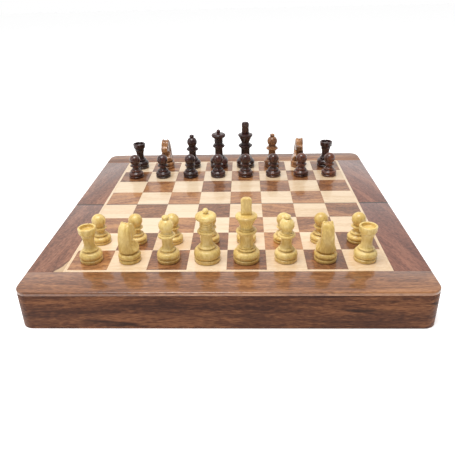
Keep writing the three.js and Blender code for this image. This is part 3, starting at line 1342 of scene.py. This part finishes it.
        def on_rim(first: Vector, second: Vector) -> bool:
            """Whether an edge lies on the set's outer top edge.

            Args:
                first: The edge's one end.
                second: Its other end.

            Returns:
                Whether it is to be rounded.
            """
            if min(first.z, second.z) < top - TOUCH:
                return False
            if part != "border":
                return min(abs(first.x), abs(second.x)) > high.x - TOUCH
            return max(abs(first.y - inner_y), abs(second.y - inner_y)) > TOUCH

        bevel_edges(board, on_rim, self.board_edge, 5)

    def ease_fold(self, board: bpy.types.Object, top: float) -> None:
        """Rounds the upper edge where a side border meets its twin at the fold.

        Args:
            board: The side border's board.
            top: The height of its top face.
        """
        def on_fold(first: Vector, second: Vector) -> bool:
            """Whether an edge lies on top at the fold."""
            at_fold = max(abs(first.y), abs(second.y)) < TOUCH
            return at_fold and min(first.z, second.z) > top - TOUCH

        bevel_edges(board, on_fold, self.fold_edge, 3)

    def string(self) -> None:
        """The maple string round the field, in three mitred strips."""
        node = self.node("inlay_string")
        low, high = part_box(node)
        field_low, field_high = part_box(self.node("playfield"))
        sign = self.side.value
        outer_y = low.y if sign < 0 else high.y
        inner_y = field_low.y if sign < 0 else field_high.y
        strips = {
            "cross": (
                (low.x, min(outer_y, inner_y), low.z),
                (high.x, max(outer_y, inner_y), high.z),
            ),
            "left": ((low.x, low.y, low.z), (field_low.x, high.y, high.z)),
            "right": ((field_high.x, low.y, low.z), (high.x, high.y, high.z)),
        }
        for part, (start, end) in strips.items():
            strip = block(f"{node}_{part}", start, end)
            for x in (low.x, high.x):
                near = (x < 0) == (part == "left")
                if part != "cross" and not near:
                    continue
                along = Vector((math.copysign(1, x), 0, 0))
                outwards = Vector((0, sign, 0))
                away = along - outwards if part == "cross" else outwards - along
                split_off(strip, (x, outer_y, low.z), away)
            soften(strip, 0.12 * MM, segments=1)
            grain = Grain.ALONG_X if part == "cross" else Grain.ALONG_Y
            finish = WoodFinish(
                f"maple_string_{grain.name.lower()}", **MAPLE, streaks=0.12, pores=0.15,
                grain=grain, seed=1.7, band_scale=300.0, stretch=20.0,
            )
            fit_out(strip, finish.material(), self.side.body, [node])

    def squares(self) -> None:
        """The thirty-two squares, sixteen of each wood, each a tile of its own."""
        node = self.node("playfield")
        low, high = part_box(node)
        tile = block("tile", (0, 0, low.z), (SQUARE, SQUARE, high.z))

        def on_top(first: Vector, second: Vector) -> bool:
            """Whether an edge lies on the playing surface."""
            return min(first.z, second.z) > high.z - TOUCH

        bevel_edges(tile, on_top, self.tile_edge, 2)
        woods = {
            "dark": (WoodFinish(
                "sheesham_squares", **SHEESHAM_SQUARE, streaks=0.5, pores=0.3, by_square=True,
                lean=0.35, variety=0.7, fold=0.5, band_scale=230.0, stretch=8.0), "sheesham"),
            "light": (WoodFinish(
                "maple_squares", **MAPLE, streaks=0.14, pores=0.1, by_square=True,
                lean=0.12, variety=0.7, fold=0.4, band_scale=240.0, stretch=12.0), "maple"),
        }
        ranks = round((high.y - low.y) / SQUARE)
        for wood, (finish, slot) in woods.items():
            tiles = []
            for rank in range(ranks):
                for file in range(len(FILE_LETTERS)):
                    whole_rank = rank + (0 if self.side is Side.FRONT else ranks)
                    if (wood == "dark") != ((whole_rank + file) % 2 == 0):
                        continue
                    place = Matrix.Translation((low.x + file * SQUARE, low.y + rank * SQUARE, 0))
                    tiles.append(copy_of(tile, f"tile_{rank}_{file}", place))
            inlay = join(tiles, f"{self.side.label}_{wood}_squares")
            shade(inlay, 20)
            fit_out(inlay, finish.material(), self.side.body, [node])
        bpy.data.objects.remove(tile)

    def storage(self) -> None:
        """The velvet insert with its two wells, and the velvet glued on the panel above."""
        node = self.node("storage_insert")
        low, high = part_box(node)
        insert = block(f"{self.side.label}_velvet_insert", low, high)
        gap = 0.5 * MM
        for opening in frame["record"]["physics"]["openings"]:
            if opening["name"].startswith(self.side.label):
                (x0, y0, _), (x1, y1, _) = opening["box_m"]
                cutter = block(
                    "well_cutter", (x0 - gap, y0 - gap, low.z - PAST),
                    (x1 + gap, y1 + gap, high.z + PAST),
                )
                bevel_edges(cutter, is_upright, 4 * MM, 6)
                combine(insert, cutter, "DIFFERENCE")
        soften(insert, self.well_edge, segments=4)
        shade(insert, 50)
        fit_out(insert, VELVET.material(), self.side.body, [node])
        panel_low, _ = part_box(self.node("base_panel"))
        top = panel_low.z - 0.02 * MM
        lining = block(
            f"{self.side.label}_velvet_lining", (low.x, low.y, top - self.lining_thick),
            (high.x, high.y, top),
        )
        soften(lining, 0.15 * MM, segments=1)
        fit_out(lining, VELVET.material(), self.side.body)

    def closing_magnets(self) -> None:
        """Two small disc magnets let into the rim, which hold the shut box."""
        radius, thick, reach, inset, sunk = 2.0, 3.0, 60 * MM, 2.6 * MM, 0.04 * MM
        height = self.rebate - sunk if self.side is Side.FRONT else sunk
        profile = [(radius - 0.3, 0.0), (radius, 0.3), (radius, thick - 0.3), (radius - 0.3, thick)]
        pattern = turn("closing_magnet", profile, sides=32)
        y = self.side.value * (self.lip_middle - inset)
        for label, x in (("left", -reach), ("right", reach)):
            place = Matrix.Translation((x, y, height))
            magnet = copy_of(pattern, f"{self.side.label}_{label}_closing_magnet", place)
            shade(magnet)
            fit_out(magnet, MAGNET.material(), self.side.body)
        bpy.data.objects.remove(pattern)

    def hidden_sheets(self) -> None:
        """Dresses the panel and the steel sheet, which keep their CAD shape."""
        for part, finish in (("base_panel", PLYWOOD), ("steel_sheet", SHEET_STEEL)):
            dress(self.node(part), finish)


@dataclass
class Hinges:
    """The two butt hinges: CAD leaves dressed in brass, with countersunk screws.

    Attributes:
        head_radius: Of a screw's head, in millimetres.
        shank_radius: Of its shank, in millimetres.
        length: Of the whole screw, in millimetres.
        turns: How many turns its thread has.
        spread: From the middle screw to the outer ones.
        across: The screws' place across a leaf, as a share of its reach.
    """

    head_radius: float = 1.9
    shank_radius: float = 0.9
    length: float = 9.0
    turns: int = 9
    spread: float = 8.5 * MM
    across: float = 0.62

    def build(self) -> None:
        """Dresses the four leaves and puts three screws in each."""
        screw = self.screw()
        for hinge in HINGES:
            for side in Side:
                node = f"{hinge}_{side.label}_leaf"
                dress(node, BRASS)
                self.drive(screw, node, side)
        bpy.data.objects.remove(screw)

    def screw(self) -> bpy.types.Object:
        """A countersunk screw, head down, with a straight slot.

        Returns:
            The pattern, at the origin.
        """
        head, shank, pitch = self.head_radius, self.shank_radius, 0.7
        profile = [(head - 0.1, 0.0), (head, 0.1), (shank, 1.1)]
        for i in range(self.turns):
            z = 1.6 + i * pitch
            profile += [(shank, z), (shank + 0.28, z + 0.3), (shank, z + 0.6)]
        profile += [(shank * 0.8, self.length - 0.8), (0.1, self.length)]
        piece = turn("screw", profile, sides=24)
        slot = block(
            "slot_cutter", (-3 * MM, -0.25 * MM, -MM), (3 * MM, 0.25 * MM, 0.45 * MM)
        )
        combine(piece, slot, "DIFFERENCE")
        shade(piece)
        return piece

    def drive(self, screw: bpy.types.Object, node: str, side: Side) -> None:
        """Puts three screws through a leaf.

        Args:
            screw: The pattern.
            node: The leaf's CAD node.
            side: The half that the leaf is screwed to.
        """
        low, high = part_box(node)
        middle = (low.x + high.x) / 2
        outer = low.y if side is Side.FRONT else high.y
        plate = (low.z + high.z) / 2 + 0.06 * MM
        for i, offset in enumerate((-self.spread, 0.0, self.spread)):
            turned = Matrix.Rotation(math.radians(35 + 50 * i), 4, "Z")
            place = Matrix.Translation((middle + offset, outer * self.across, plate)) @ turned
            piece = copy_of(screw, f"{node}_screw_{i + 1}", place)
            fit_out(piece, SCREW_BRASS.material(), side.body)


# ---------------------------------------------------------------------------
# The men
# ---------------------------------------------------------------------------

BORE = ((3.2, 2.6), (3.2, 0.65))  # radius and height of the magnet's bore, from its top down
FELT_RADIUS = 6.2


def foot(radius: float, plinth: float, shoulder: float, ring: float) -> list[Point]:
    """Foot of every turned man: a bored underside, a plinth, a bulge and a ring.

    Args:
        radius: Of the bulge, in millimetres.
        plinth: Height of the line between plinth and bulge.
        shoulder: Height of the ring at the stem's foot.
        ring: That ring's radius.

    Returns:
        The profile up to the ring's upper edge.
    """
    swell = 0.27 * radius
    middle = plinth + 0.33 * (shoulder - plinth)
    low, high = (middle - plinth - 0.3) / 0.87, shoulder - 1.5 - middle
    return [
        *BORE, (0.92 * radius, 0.65), (0.92 * radius, 0.25), (0.95 * radius, 0.25),
        (0.975 * radius, 0.7), (0.985 * radius, plinth - 0.25), (0.96 * radius, plinth),
        *arc((radius - swell, middle), swell, low, -60, 0, 5)[:-1],
        *arc((radius - swell, middle), swell, high, 0, 88, 10),
        *bead(ring, shoulder, 1.5),
    ]


def sphere(radius: float, height: float, neck: float, end: float = 88) -> list[Point]:
    """The outline of a ball on a neck.

    Args:
        radius: Of the ball.
        height: Of the ball's centre.
        neck: Of the neck under it.
        end: The angle in degrees where the outline stops, 90 being the pole.

    Returns:
        The profile from the neck up.
    """
    low = -math.degrees(math.acos(min(1.0, neck / radius)))
    return arc((0.0, height), radius, radius, low, end, 16)


def pawn_profile(radius: float, height: float) -> list[Point]:
    """A pawn: ball head, collar close under it and a stem that flares to its foot.

    Args:
        radius: Of the foot's bulge, in millimetres.
        height: Of the whole pawn, in millimetres.

    Returns:
        The profile from the foot up.
    """
    ball = 5.7
    return [
        *foot(radius, 2.1, 7.5, 5.8),
        *bend((4.9, 8.4), (3.5, 9.3), (3.4, 10.8), 6),
        *bend((3.4, 11.4), (3.6, 12.2), (4.9, 12.6), 3),
        *bead(5.7, 13.2, 1.1), (4.3, 13.9), (3.9, 14.5),
        *sphere(ball, height - ball, 3.9),
    ]


def rook_profile(radius: float, height: float) -> list[Point]:
    """A rook: a waisted tower with a stepped, hollow top.

    Args:
        radius: Of the foot's bulge, in millimetres.
        height: Of the whole rook, in millimetres.

    Returns:
        The profile from the foot up.
    """
    return [
        *foot(radius, 2.7, 10.0, 6.2),
        *bend((5.2, 10.9), (4.1, 12.4), (4.1, 15.8), 8),
        *bend((4.1, 16.4), (4.15, 18.6), (4.7, 19.9), 7),
        (5.0, 20.4), (5.15, 21.0), (5.15, 22.9), (4.9, 23.3), (4.9, 23.6), (6.3, 23.7),
        *bend((6.55, 24.1), (6.7, 25.6), (6.85, 27.8), 6),
        (6.7, height - 0.25), (6.4, height), (5.5, height), (5.2, height - 0.25),
        (5.05, height - 2.3), (4.7, height - 2.6), (2.5, height - 2.75), (0.05, height - 2.8),
    ]


def bishop_profile(radius: float, height: float) -> list[Point]:
    """A bishop: a ball head with a flat button on it, over a thick collar.

    Args:
        radius: Of the foot's bulge, in millimetres.
        height: Of the whole bishop, in millimetres.

    Returns:
        The profile from the foot up.
    """
    button = 1.7
    return [
        *foot(radius, 2.8, 10.0, 6.1),
        *bend((5.1, 10.9), (4.1, 12.0), (4.05, 14.8), 7),
        (4.05, 18.6), *bend((4.1, 18.9), (4.4, 19.9), (5.8, 20.4), 4),
        *bead(6.75, 21.4, 1.9), (5.2, 22.5), *bead(5.4, 23.1, 0.9), (4.2, 23.8), (4.1, 24.5),
        *sphere(5.65, 29.6, 4.2, 68),
        *arc((0.0, height - button), 2.75, button, -46, 88, 12),
    ]


def queen_profile(radius: float, height: float) -> list[Point]:
    """A queen: a ringed neck and a broad round-rimmed crown with a ball on it.

    Args:
        radius: Of the foot's bulge, in millimetres.
        height: Of the whole queen, in millimetres.

    Returns:
        The profile from the foot up.
    """
    return [
        *foot(radius, 3.1, 12.2, 6.8),
        *bend((5.8, 13.1), (4.5, 14.1), (4.4, 16.6), 8),
        (4.35, 21.4), *bend((4.4, 21.8), (4.8, 23.2), (5.8, 23.7), 4),
        *bead(6.9, 24.8, 2.1), (5.4, 26.0), *bead(5.8, 26.6, 1.0), (4.7, 27.3), (4.5, 28.3),
        *bead(4.95, 29.4, 1.2), (4.45, 30.3), *bead(4.95, 31.3, 1.2), (4.45, 32.2),
        *bead(5.0, 33.1, 1.1), (4.8, 33.9), *bend((4.9, 34.2), (5.4, 34.6), (6.3, 34.6), 3),
        *arc((5.7, 36.75), 2.3, 2.2, -68, 84, 14),
        *bend((5.3, 38.95), (3.1, 38.8), (1.9, 39.4), 5),
        *sphere(2.25, height - 2.25, 1.6),
    ]


def king_profile(radius: float, _height: float) -> list[Point]:
    """A king up to the foot of its finial: a conical crown with a broad lip.

    Args:
        radius: Of the foot's bulge, in millimetres.
        _height: Of the whole king, which the finial reaches; the turned part doesn't need it.

    Returns:
        The profile from the foot up.
    """
    return [
        *foot(radius, 3.0, 10.6, 7.4),
        (6.0, 11.5), *bead(6.3, 12.3, 1.1), *bend((5.3, 13.0), (4.9, 13.8), (4.9, 16.2), 6),
        (4.85, 21.0), *bend((4.9, 21.4), (5.0, 22.2), (5.6, 22.5), 3),
        *bead(6.0, 22.95, 0.8), (5.6, 23.5), (6.4, 24.0), *bead(7.9, 25.0, 1.9),
        (6.2, 26.1), *bead(6.0, 26.7, 1.0), (4.8, 27.4), (4.4, 28.2),
        *bend((4.4, 28.6), (5.2, 31.4), (7.4, 35.4), 10),
        (7.6, 35.8), (8.05, 36.1), (8.2, 36.5), (8.2, 37.1), (8.0, 37.7), (7.5, 38.05),
        (4.2, 38.4), (3.0, 38.5), (0.05, 38.55),
    ]


@dataclass
class Knights:
    """The carved knight, made once in millimetres and copied.

    Attributes:
        radius: Of the foot's bulge.
        voxel: Grain of the carving, in metres.
        rounding: How often the rough block is rubbed down.
        smoothing: How often the finished carving is.
        locks: Locks of the mane on each side of the neck.
    """

    radius: float
    voxel: float = 0.32 * MM
    rounding: int = 60
    smoothing: int = 5
    locks: int = 6

    def side_outline(self) -> list[Point]:
        """The horse's outline from the side.

        Returns:
            X and Z in millimetres, the nose towards positive X.
        """
        return [
            (-7.6, 5.5), *bend((-7.6, 9.6), (-8.0, 18.0), (-6.0, 25.0), 8),
            *bend((-5.5, 27.2), (-4.2, 31.6), (-1.6, 31.8), 6),
            *bend((1.2, 31.6), (3.8, 30.4), (4.8, 27.8), 5),
            *bend((5.6, 26.2), (7.6, 24.6), (8.5, 22.9), 4),
            *bend((8.9, 21.6), (8.3, 19.8), (7.0, 19.6), 4), (6.2, 20.4), (5.2, 20.2),
            *bend((4.4, 19.9), (3.0, 20.4), (2.2, 19.8), 4),
            *bend((1.8, 18.2), (3.2, 15.6), (6.0, 13.4), 6), (7.5, 11.0), (7.6, 5.5),
        ]

    def front_outline(self) -> list[Point]:
        """The horse's outline from the front.

        Returns:
            X and Z in millimetres, with the notch between the ears still uncut.
        """
        right = [
            (7.8, 5.5), (7.8, 9.2), *bend((7.5, 10.4), (5.7, 11.4), (5.2, 16.5), 7),
            *bend((5.0, 19.0), (4.7, 24.0), (4.5, 27.4), 5),
            *bend((4.4, 29.4), (4.0, 31.7), (2.6, 32.0), 5),
        ]
        return mirrored(right)

    def blank(self) -> bpy.types.Object:
        """The turned block that the head is carved from, undercut above the foot.

        Returns:
            The block, standing where the head does.
        """
        girth = 0.9 * self.radius
        profile = [(5.2, 7.2), (5.4, 8.0), (girth - 0.9, 8.6), (girth, 9.3), (girth, 34.0)]
        return turn("knight_blank", profile)

    def head(self) -> bpy.types.Object:
        """The carved head and neck.

        Returns:
            The carving over the origin, facing +Y.
        """
        head = outline("knight_head", self.side_outline(), -9.0, 9.0)
        head.data.transform(Matrix.Rotation(math.pi / 2, 4, "Z"))
        combine(head, outline("knight_front", self.front_outline(), -10.0, 10.0), "INTERSECT")
        apply_modifier(head, "REMESH", mode="VOXEL", voxel_size=self.voxel)
        apply_modifier(head, "SMOOTH", factor=0.5, iterations=self.rounding)
        combine(head, self.blank(), "INTERSECT", "MANIFOLD")
        self.taper_face(head)
        self.carve_face(head)
        self.carve_mane(head)
        apply_modifier(head, "REMESH", mode="VOXEL", voxel_size=self.voxel)
        apply_modifier(head, "SMOOTH", factor=0.5, iterations=self.smoothing)
        return head

    def taper_face(self, head: bpy.types.Object) -> None:
        """Planes both cheeks towards the muzzle, and sets the ears with a notch between.

        Args:
            head: The rough head.
        """
        upright = Matrix.Rotation(math.pi / 2, 4, "X")
        for sign in (-1, 1):
            wedge = [(sign * 4.6, 2.0), (sign * 3.9, -0.6), (sign * 3.5, -9.0), (sign * 9.0, -9.0),
                     (sign * 9.0, 2.0)]
            cutter = outline("cheek_cutter", wedge, 18.5, 35.0)
            cutter.data.transform(upright)
            combine(head, cutter, "DIFFERENCE", "MANIFOLD")
            self.ball(head, (sign * 2.6, -0.6, 30.7), (1.5, 1.5, 2.25), "UNION", lean=8)
        notch = [(-1.9, 34.0), (0.0, 29.9), (1.9, 34.0)]
        combine(head, outline("ear_notch", notch, -1.6, 4.0), "DIFFERENCE", "MANIFOLD")

    def carve_face(self, head: bpy.types.Object) -> None:
        """Cuts the mouth, cheeks, eye hollows and nostrils, and sets in the eyes.

        Args:
            head: The head with its planed cheeks.
        """
        mouth = block("mouth", (-9 * MM, 5.2 * MM, 21.3 * MM), (9 * MM, 9 * MM, 21.85 * MM))
        combine(head, mouth, "DIFFERENCE", "MANIFOLD")
        for sign in (-1, 1):
            self.ball(head, (sign * 4.2, 5.2, 24.6), (1.2, 1.9, 1.9), "DIFFERENCE")
            self.ball(head, (sign * 4.1, 2.9, 27.3), (1.1, 1.5, 1.2), "DIFFERENCE")
            self.ball(head, (sign * 3.5, 2.9, 27.3), (0.8, 1.0, 0.8), "UNION")
            self.ball(head, (sign * 3.0, 7.6, 22.9), (0.8, 0.7, 0.55), "DIFFERENCE")
            self.ball(head, (sign * 5.7, 2.3, 18.2), (1.9, 2.4, 1.6), "DIFFERENCE")

    def carve_mane(self, head: bpy.types.Object) -> None:
        """Cuts slanting locks down both sides of the neck.

        Args:
            head: The head with its face.
        """
        for sign in (-1, 1):
            for i in range(self.locks):
                centre = (sign * (5.35 - 0.1 * i), -3.6 + 0.3 * i, 13.0 + 2.6 * i)
                self.ball(head, centre, (0.55, 2.6, 0.42), "DIFFERENCE", lean=-38)

    @staticmethod
    def ball(
        head: bpy.types.Object, centre: Sequence[float], radii: Sequence[float],
        operation: str, lean: float = 0.0,
    ) -> None:
        """Adds or cuts a small ellipsoid.

        Args:
            head: The head to change.
            centre: The ellipsoid's centre in millimetres.
            radii: Its half axes in millimetres.
            operation: "UNION" or "DIFFERENCE".
            lean: Its turn about X in degrees.
        """
        let_go()
        bpy.ops.mesh.primitive_uv_sphere_add(
            segments=16, ring_count=8, radius=1, location=Vector(centre) * MM,
            rotation=(math.radians(lean), 0, 0), scale=Vector(radii) * MM,
        )
        tool = bpy.context.object
        bpy.ops.object.transform_apply(location=True, rotation=True, scale=True)
        combine(head, tool, operation, "MANIFOLD")

    def build(self) -> bpy.types.Object:
        """The whole knight on its foot.

        Returns:
            The pattern at the origin, facing +Y.
        """
        profile = [*foot(self.radius, 2.8, 9.2, 6.0)[:-6], (0.6 * self.radius, 7.75), (0.05, 7.75)]
        knight = turn("knight_pattern", profile)
        combine(knight, self.head(), "UNION")
        shade(knight, 50)
        return knight


@dataclass
class Man:
    """One man of one army.

    Attributes:
        army: "light" or "dark".
        kind: Such as "pawn".
        file: The file's number, 0 for a.
    """

    army: str
    kind: str
    file: int

    @property
    def node(self) -> str:
        """The man's CAD node, which is also its body.

        Returns:
            The name, with the file's letter where the army has more than one of the kind.
        """
        single = self.kind in ("queen", "king")
        letter = "" if single else f"_{FILE_LETTERS[self.file]}"
        return f"{self.army}_{self.kind}{letter}"


@dataclass
class Armies:
    """All thirty-two men, with their felts and magnets.

    Attributes:
        tones: The dark men that aren't ebony.
        turned_aside: Men that don't look straight ahead, in degrees.
        slots: Width and depth of the cuts in a rook's rim, in millimetres.
    """

    tones: dict[str, Tone] = field(default_factory=lambda: {
        "dark_knight_b": Tone.TAN, "dark_knight_g": Tone.TAN, "dark_bishop_f": Tone.TAN,
        "dark_pawn_a": Tone.RUSSET, "dark_pawn_e": Tone.RUSSET, "dark_pawn_f": Tone.RUSSET,
        "dark_pawn_g": Tone.RUSSET, "dark_pawn_h": Tone.RUSSET,
    })
    turned_aside: dict[str, float] = field(default_factory=lambda: {
        "light_knight_b": -18.0, "dark_knight_b": -8.0,
    })
    slots: tuple[float, float] = (0.55, 0.7)

    def patterns(self) -> dict[str, bpy.types.Object]:
        """One man of each kind.

        Returns:
            The kinds' names with their patterns, which stand on the origin.
        """
        profiles = {
            "pawn": pawn_profile, "rook": rook_profile, "bishop": bishop_profile,
            "queen": queen_profile, "king": king_profile,
        }
        made = {}
        for kind, profile in profiles.items():
            radius, height = self.size_of(kind)
            made[kind] = turn(f"{kind}_pattern", profile(radius, height))
        self.notch_rim(made["rook"], self.size_of("rook")[1])
        combine(made["king"], self.king_finial(self.size_of("king")[1]), "UNION")
        for man in made.values():
            shade(man, 32)
        made["knight"] = Knights(self.size_of("knight")[0]).build()
        return made

    @staticmethod
    def size_of(kind: str) -> tuple[float, float]:
        """Measures a kind on its light man nearest file h, which isn't turned aside.

        Args:
            kind: Such as "pawn".

        Returns:
            Radius of the foot's bulge and height of the whole man, in millimetres.
        """
        file = max((i for i, officer in enumerate(BACK_RANK) if officer == kind), default=0)
        low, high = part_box(Man("light", kind, file).node)
        return (high.x - low.x) / 2 / MM, (high.z - low.z) / MM

    def notch_rim(self, rook: bpy.types.Object, height: float) -> None:
        """Saws two crossing slots in the rook's rim.

        Args:
            rook: The turned rook.
            height: Its height in millimetres.
        """
        width, depth = (value * MM for value in self.slots)
        reach = 9 * MM
        for long_x, long_y in ((reach, width / 2), (width / 2, reach)):
            low = (-long_x, -long_y, height * MM - depth)
            combine(rook, block("slot", low, (long_x, long_y, height * MM + MM)), "DIFFERENCE")

    def king_finial(self, height: float) -> bpy.types.Object:
        """The king's flat finial: a round-topped block with a nick in each side.

        Args:
            height: The king's height in millimetres.

        Returns:
            The finial, where it stands.
        """
        half, low, waist = 4.0, 38.0, 45.2
        right = [
            (half - 0.2, low), (half, low + 2.5), (half - 0.1, waist - 0.9), (half - 0.45, waist),
            (half - 0.1, waist + 0.9), (half + 0.05, height - 2.9),
            *bend((half + 0.05, height - 2.6), (half - 0.1, height - 0.1), (0.7, height), 8),
        ]
        finial = outline("finial", mirrored(right), -2.2, 2.2)
        soften(finial, 0.6 * MM, segments=3, angle=60)
        return finial

    def build(self) -> None:
        """Makes every man, its felt and its magnet."""
        patterns = self.patterns()
        edge = FELT_RADIUS - 0.2
        felt = turn("felt", [(edge, 0.03), (FELT_RADIUS, 0.1), (FELT_RADIUS, 0.55), (edge, 0.6)])
        disc = turn("magnet", [(2.8, 0.7), (3.0, 0.9), (3.0, 2.3), (2.8, 2.5)], sides=32)
        for army in ("light", "dark"):
            men = [Man(army, kind, file) for file, kind in enumerate(BACK_RANK)]
            men += [Man(army, "pawn", file) for file in range(len(FILE_LETTERS))]
            for man in men:
                self.place(man, patterns[man.kind], felt, disc)
        for pattern in (*patterns.values(), felt, disc):
            bpy.data.objects.remove(pattern)

    def place(
        self, man: Man, pattern: bpy.types.Object, felt: bpy.types.Object, disc: bpy.types.Object
    ) -> None:
        """Stands one man on its square.

        Args:
            man: Which man it is.
            pattern: The man of its kind, at the origin.
            felt: The felt under its foot, at the origin.
            disc: The magnet in its foot, at the origin.
        """
        low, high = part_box(man.node)
        centre = ((low.x + high.x) / 2, (low.y + high.y) / 2, low.z)
        ahead = 0.0 if man.army == "light" else 180.0
        angle = math.radians(ahead + self.turned_aside.get(man.node, 0.0))
        place = Matrix.Translation(centre) @ Matrix.Rotation(angle, 4, "Z")
        radius = (high.x - low.x) / 2 / MM
        shrink = (0.94 * radius - 0.7) / FELT_RADIUS
        wide = Matrix.Diagonal((shrink, shrink, 1.0, 1.0))
        figure = copy_of(pattern, f"{man.node}_turned", place)
        fit_out(figure, self.wood(man).material(), man.node, [man.node])
        pad = copy_of(felt, f"{man.node}_felt", place @ wide)
        fit_out(pad, FELT.material(), man.node)
        magnet = copy_of(disc, f"{man.node}_magnet", place)
        fit_out(magnet, MAGNET.material(), man.node)

    def wood(self, man: Man) -> WoodFinish:
        """The wood of one man.

        Args:
            man: Which man it is.

        Returns:
            The boxwood of every light man, or the dark wood in the man's own tone.
        """
        if man.army == "light":
            return WoodFinish(
                "boxwood", **BOXWOOD, streaks=0.1, pores=0.08, grain=Grain.ALONG_Z, seed=0.6,
                stretch=5.0, band_scale=140.0, pore_scale=2600.0,
                lacquer=Lacquer(0.36, 0.45, 0.3, 0.2, 0.00002),
            )
        tone = self.tones.get(man.node, Tone.EBONY)
        return WoodFinish(
            f"rosewood_{tone.value}", **DARK_WOODS[tone], streaks=0.6, pores=0.3,
            grain=Grain.ALONG_Z, seed=2.6, stretch=6.0, band_scale=150.0,
            lacquer=Lacquer(0.3, 0.4, 0.5, 0.09, 0.00003),
        )


# ---------------------------------------------------------------------------
# The studio
# ---------------------------------------------------------------------------


@dataclass
class Studio:
    """Camera, floor and lights.

    Attributes:
        eye: The camera's place over the middle of the playing surface.
        yaw: Degrees that it looks right of straight ahead.
        pitch: Degrees that it looks down.
        roll: Degrees that it leans.
        lens: Focal length in millimetres.
        sensor: Sensor width in millimetres.
        shift: The frame's vertical shift.
    """

    eye: tuple[float, float, float] = (13.9 * MM, -432.7 * MM, 193.0 * MM)
    yaw: float = -2.27
    pitch: float = 26.97
    roll: float = -1.39
    lens: float = 39.05
    sensor: float = 36.0
    shift: float = 0.0037

    def build(self) -> None:
        """Sets up the whole studio."""
        self.camera()
        self.floor()
        self.lights()

    def camera(self) -> None:
        """A camera at a seated player's height, looking down on the board."""
        data = bpy.data.cameras.new("camera")
        data.lens, data.sensor_width, data.shift_y = self.lens, self.sensor, self.shift
        data.clip_start, data.clip_end = 0.01, 50
        camera = bpy.data.objects.new("camera", data)
        bpy.context.scene.collection.objects.link(camera)
        yaw, pitch, roll = (math.radians(v) for v in (self.yaw, self.pitch, self.roll))
        level = Vector((math.cos(yaw), -math.sin(yaw), 0))
        ahead = Vector((math.sin(yaw), math.cos(yaw), 0)) * math.cos(pitch)
        ahead.z = -math.sin(pitch)
        above = level.cross(ahead)
        right = level * math.cos(roll) + above * math.sin(roll)
        up = above * math.cos(roll) - level * math.sin(roll)
        turned = Matrix((right, up, -ahead)).transposed().to_4x4()
        surface = Vector((0, 0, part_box("front_playfield")[1].z))
        camera.matrix_world = Matrix.Translation(Vector(self.eye) + surface) @ turned
        bpy.context.scene.camera = camera

    def floor(self) -> None:
        """A plain pale floor that the board stands on."""
        let_go()
        bpy.ops.mesh.primitive_plane_add(size=8, location=(0, 0, 0))
        floor = bpy.context.object
        floor.name = "floor"
        material = bpy.data.materials.new("floor_paper")
        material.use_nodes = True
        shader = material.node_tree.nodes["Principled BSDF"]
        shader.inputs["Base Color"].default_value = (0.95, 0.95, 0.95, 1)
        shader.inputs["Roughness"].default_value = 0.9
        shader.inputs["Specular IOR Level"].default_value = 0.0
        shader.inputs["Emission Color"].default_value = (1, 1, 1, 1)
        shader.inputs["Emission Strength"].default_value = 0.5
        floor.data.materials.append(material)

    def lights(self) -> None:
        """A white backdrop, a room bright behind the board and dim in front, and two lamps."""
        world = bpy.data.worlds.new("room")
        world.use_nodes = True
        world.node_tree.nodes.clear()
        graph = Graph(world.node_tree)
        towards = graph.add("ShaderNodeTexCoord").outputs["Generated"]
        apart = graph.add("ShaderNodeSeparateXYZ", {"Vector": towards}).outputs
        brightness = graph.spread(apart[1], -0.45, 0.35, 0.22, 1.0)
        seen = graph.add("ShaderNodeLightPath").outputs["Is Camera Ray"]
        backdrop = graph.math("MULTIPLY", seen, 1.25)
        background = graph.add("ShaderNodeBackground", {
            "Strength": graph.math("MAXIMUM", backdrop, brightness),
        })
        graph.add("ShaderNodeOutputWorld", {"Surface": background.outputs[0]})
        bpy.context.scene.world = world
        for name, place, size, power in (
            ("overhead", (-0.12, -0.18, 1.0), 0.5, 8.2),
            ("left", (-1.2, -0.6, 0.8), 0.6, 3.0),
        ):
            data = bpy.data.lights.new(name, "AREA")
            data.shape, data.size, data.energy = "SQUARE", size, power
            lamp = bpy.data.objects.new(name, data)
            bpy.context.scene.collection.objects.link(lamp)
            aim = Vector((0, 0, 0.03)) - Vector(place)
            turned = aim.to_track_quat("-Z", "Y").to_matrix().to_4x4()
            lamp.matrix_world = Matrix.Translation(place) @ turned
        bpy.context.scene.view_settings.view_transform = "Standard"


def main() -> None:
    """Builds the studio, the board and the men, in that order."""
    logging.basicConfig(level=logging.INFO, format="%(message)s")
    Studio().build()
    for side in Side:
        BoardHalf(side).build()
    Hinges().build()
    Armies().build()
    let_go()


if __name__ == "__main__":
    main()
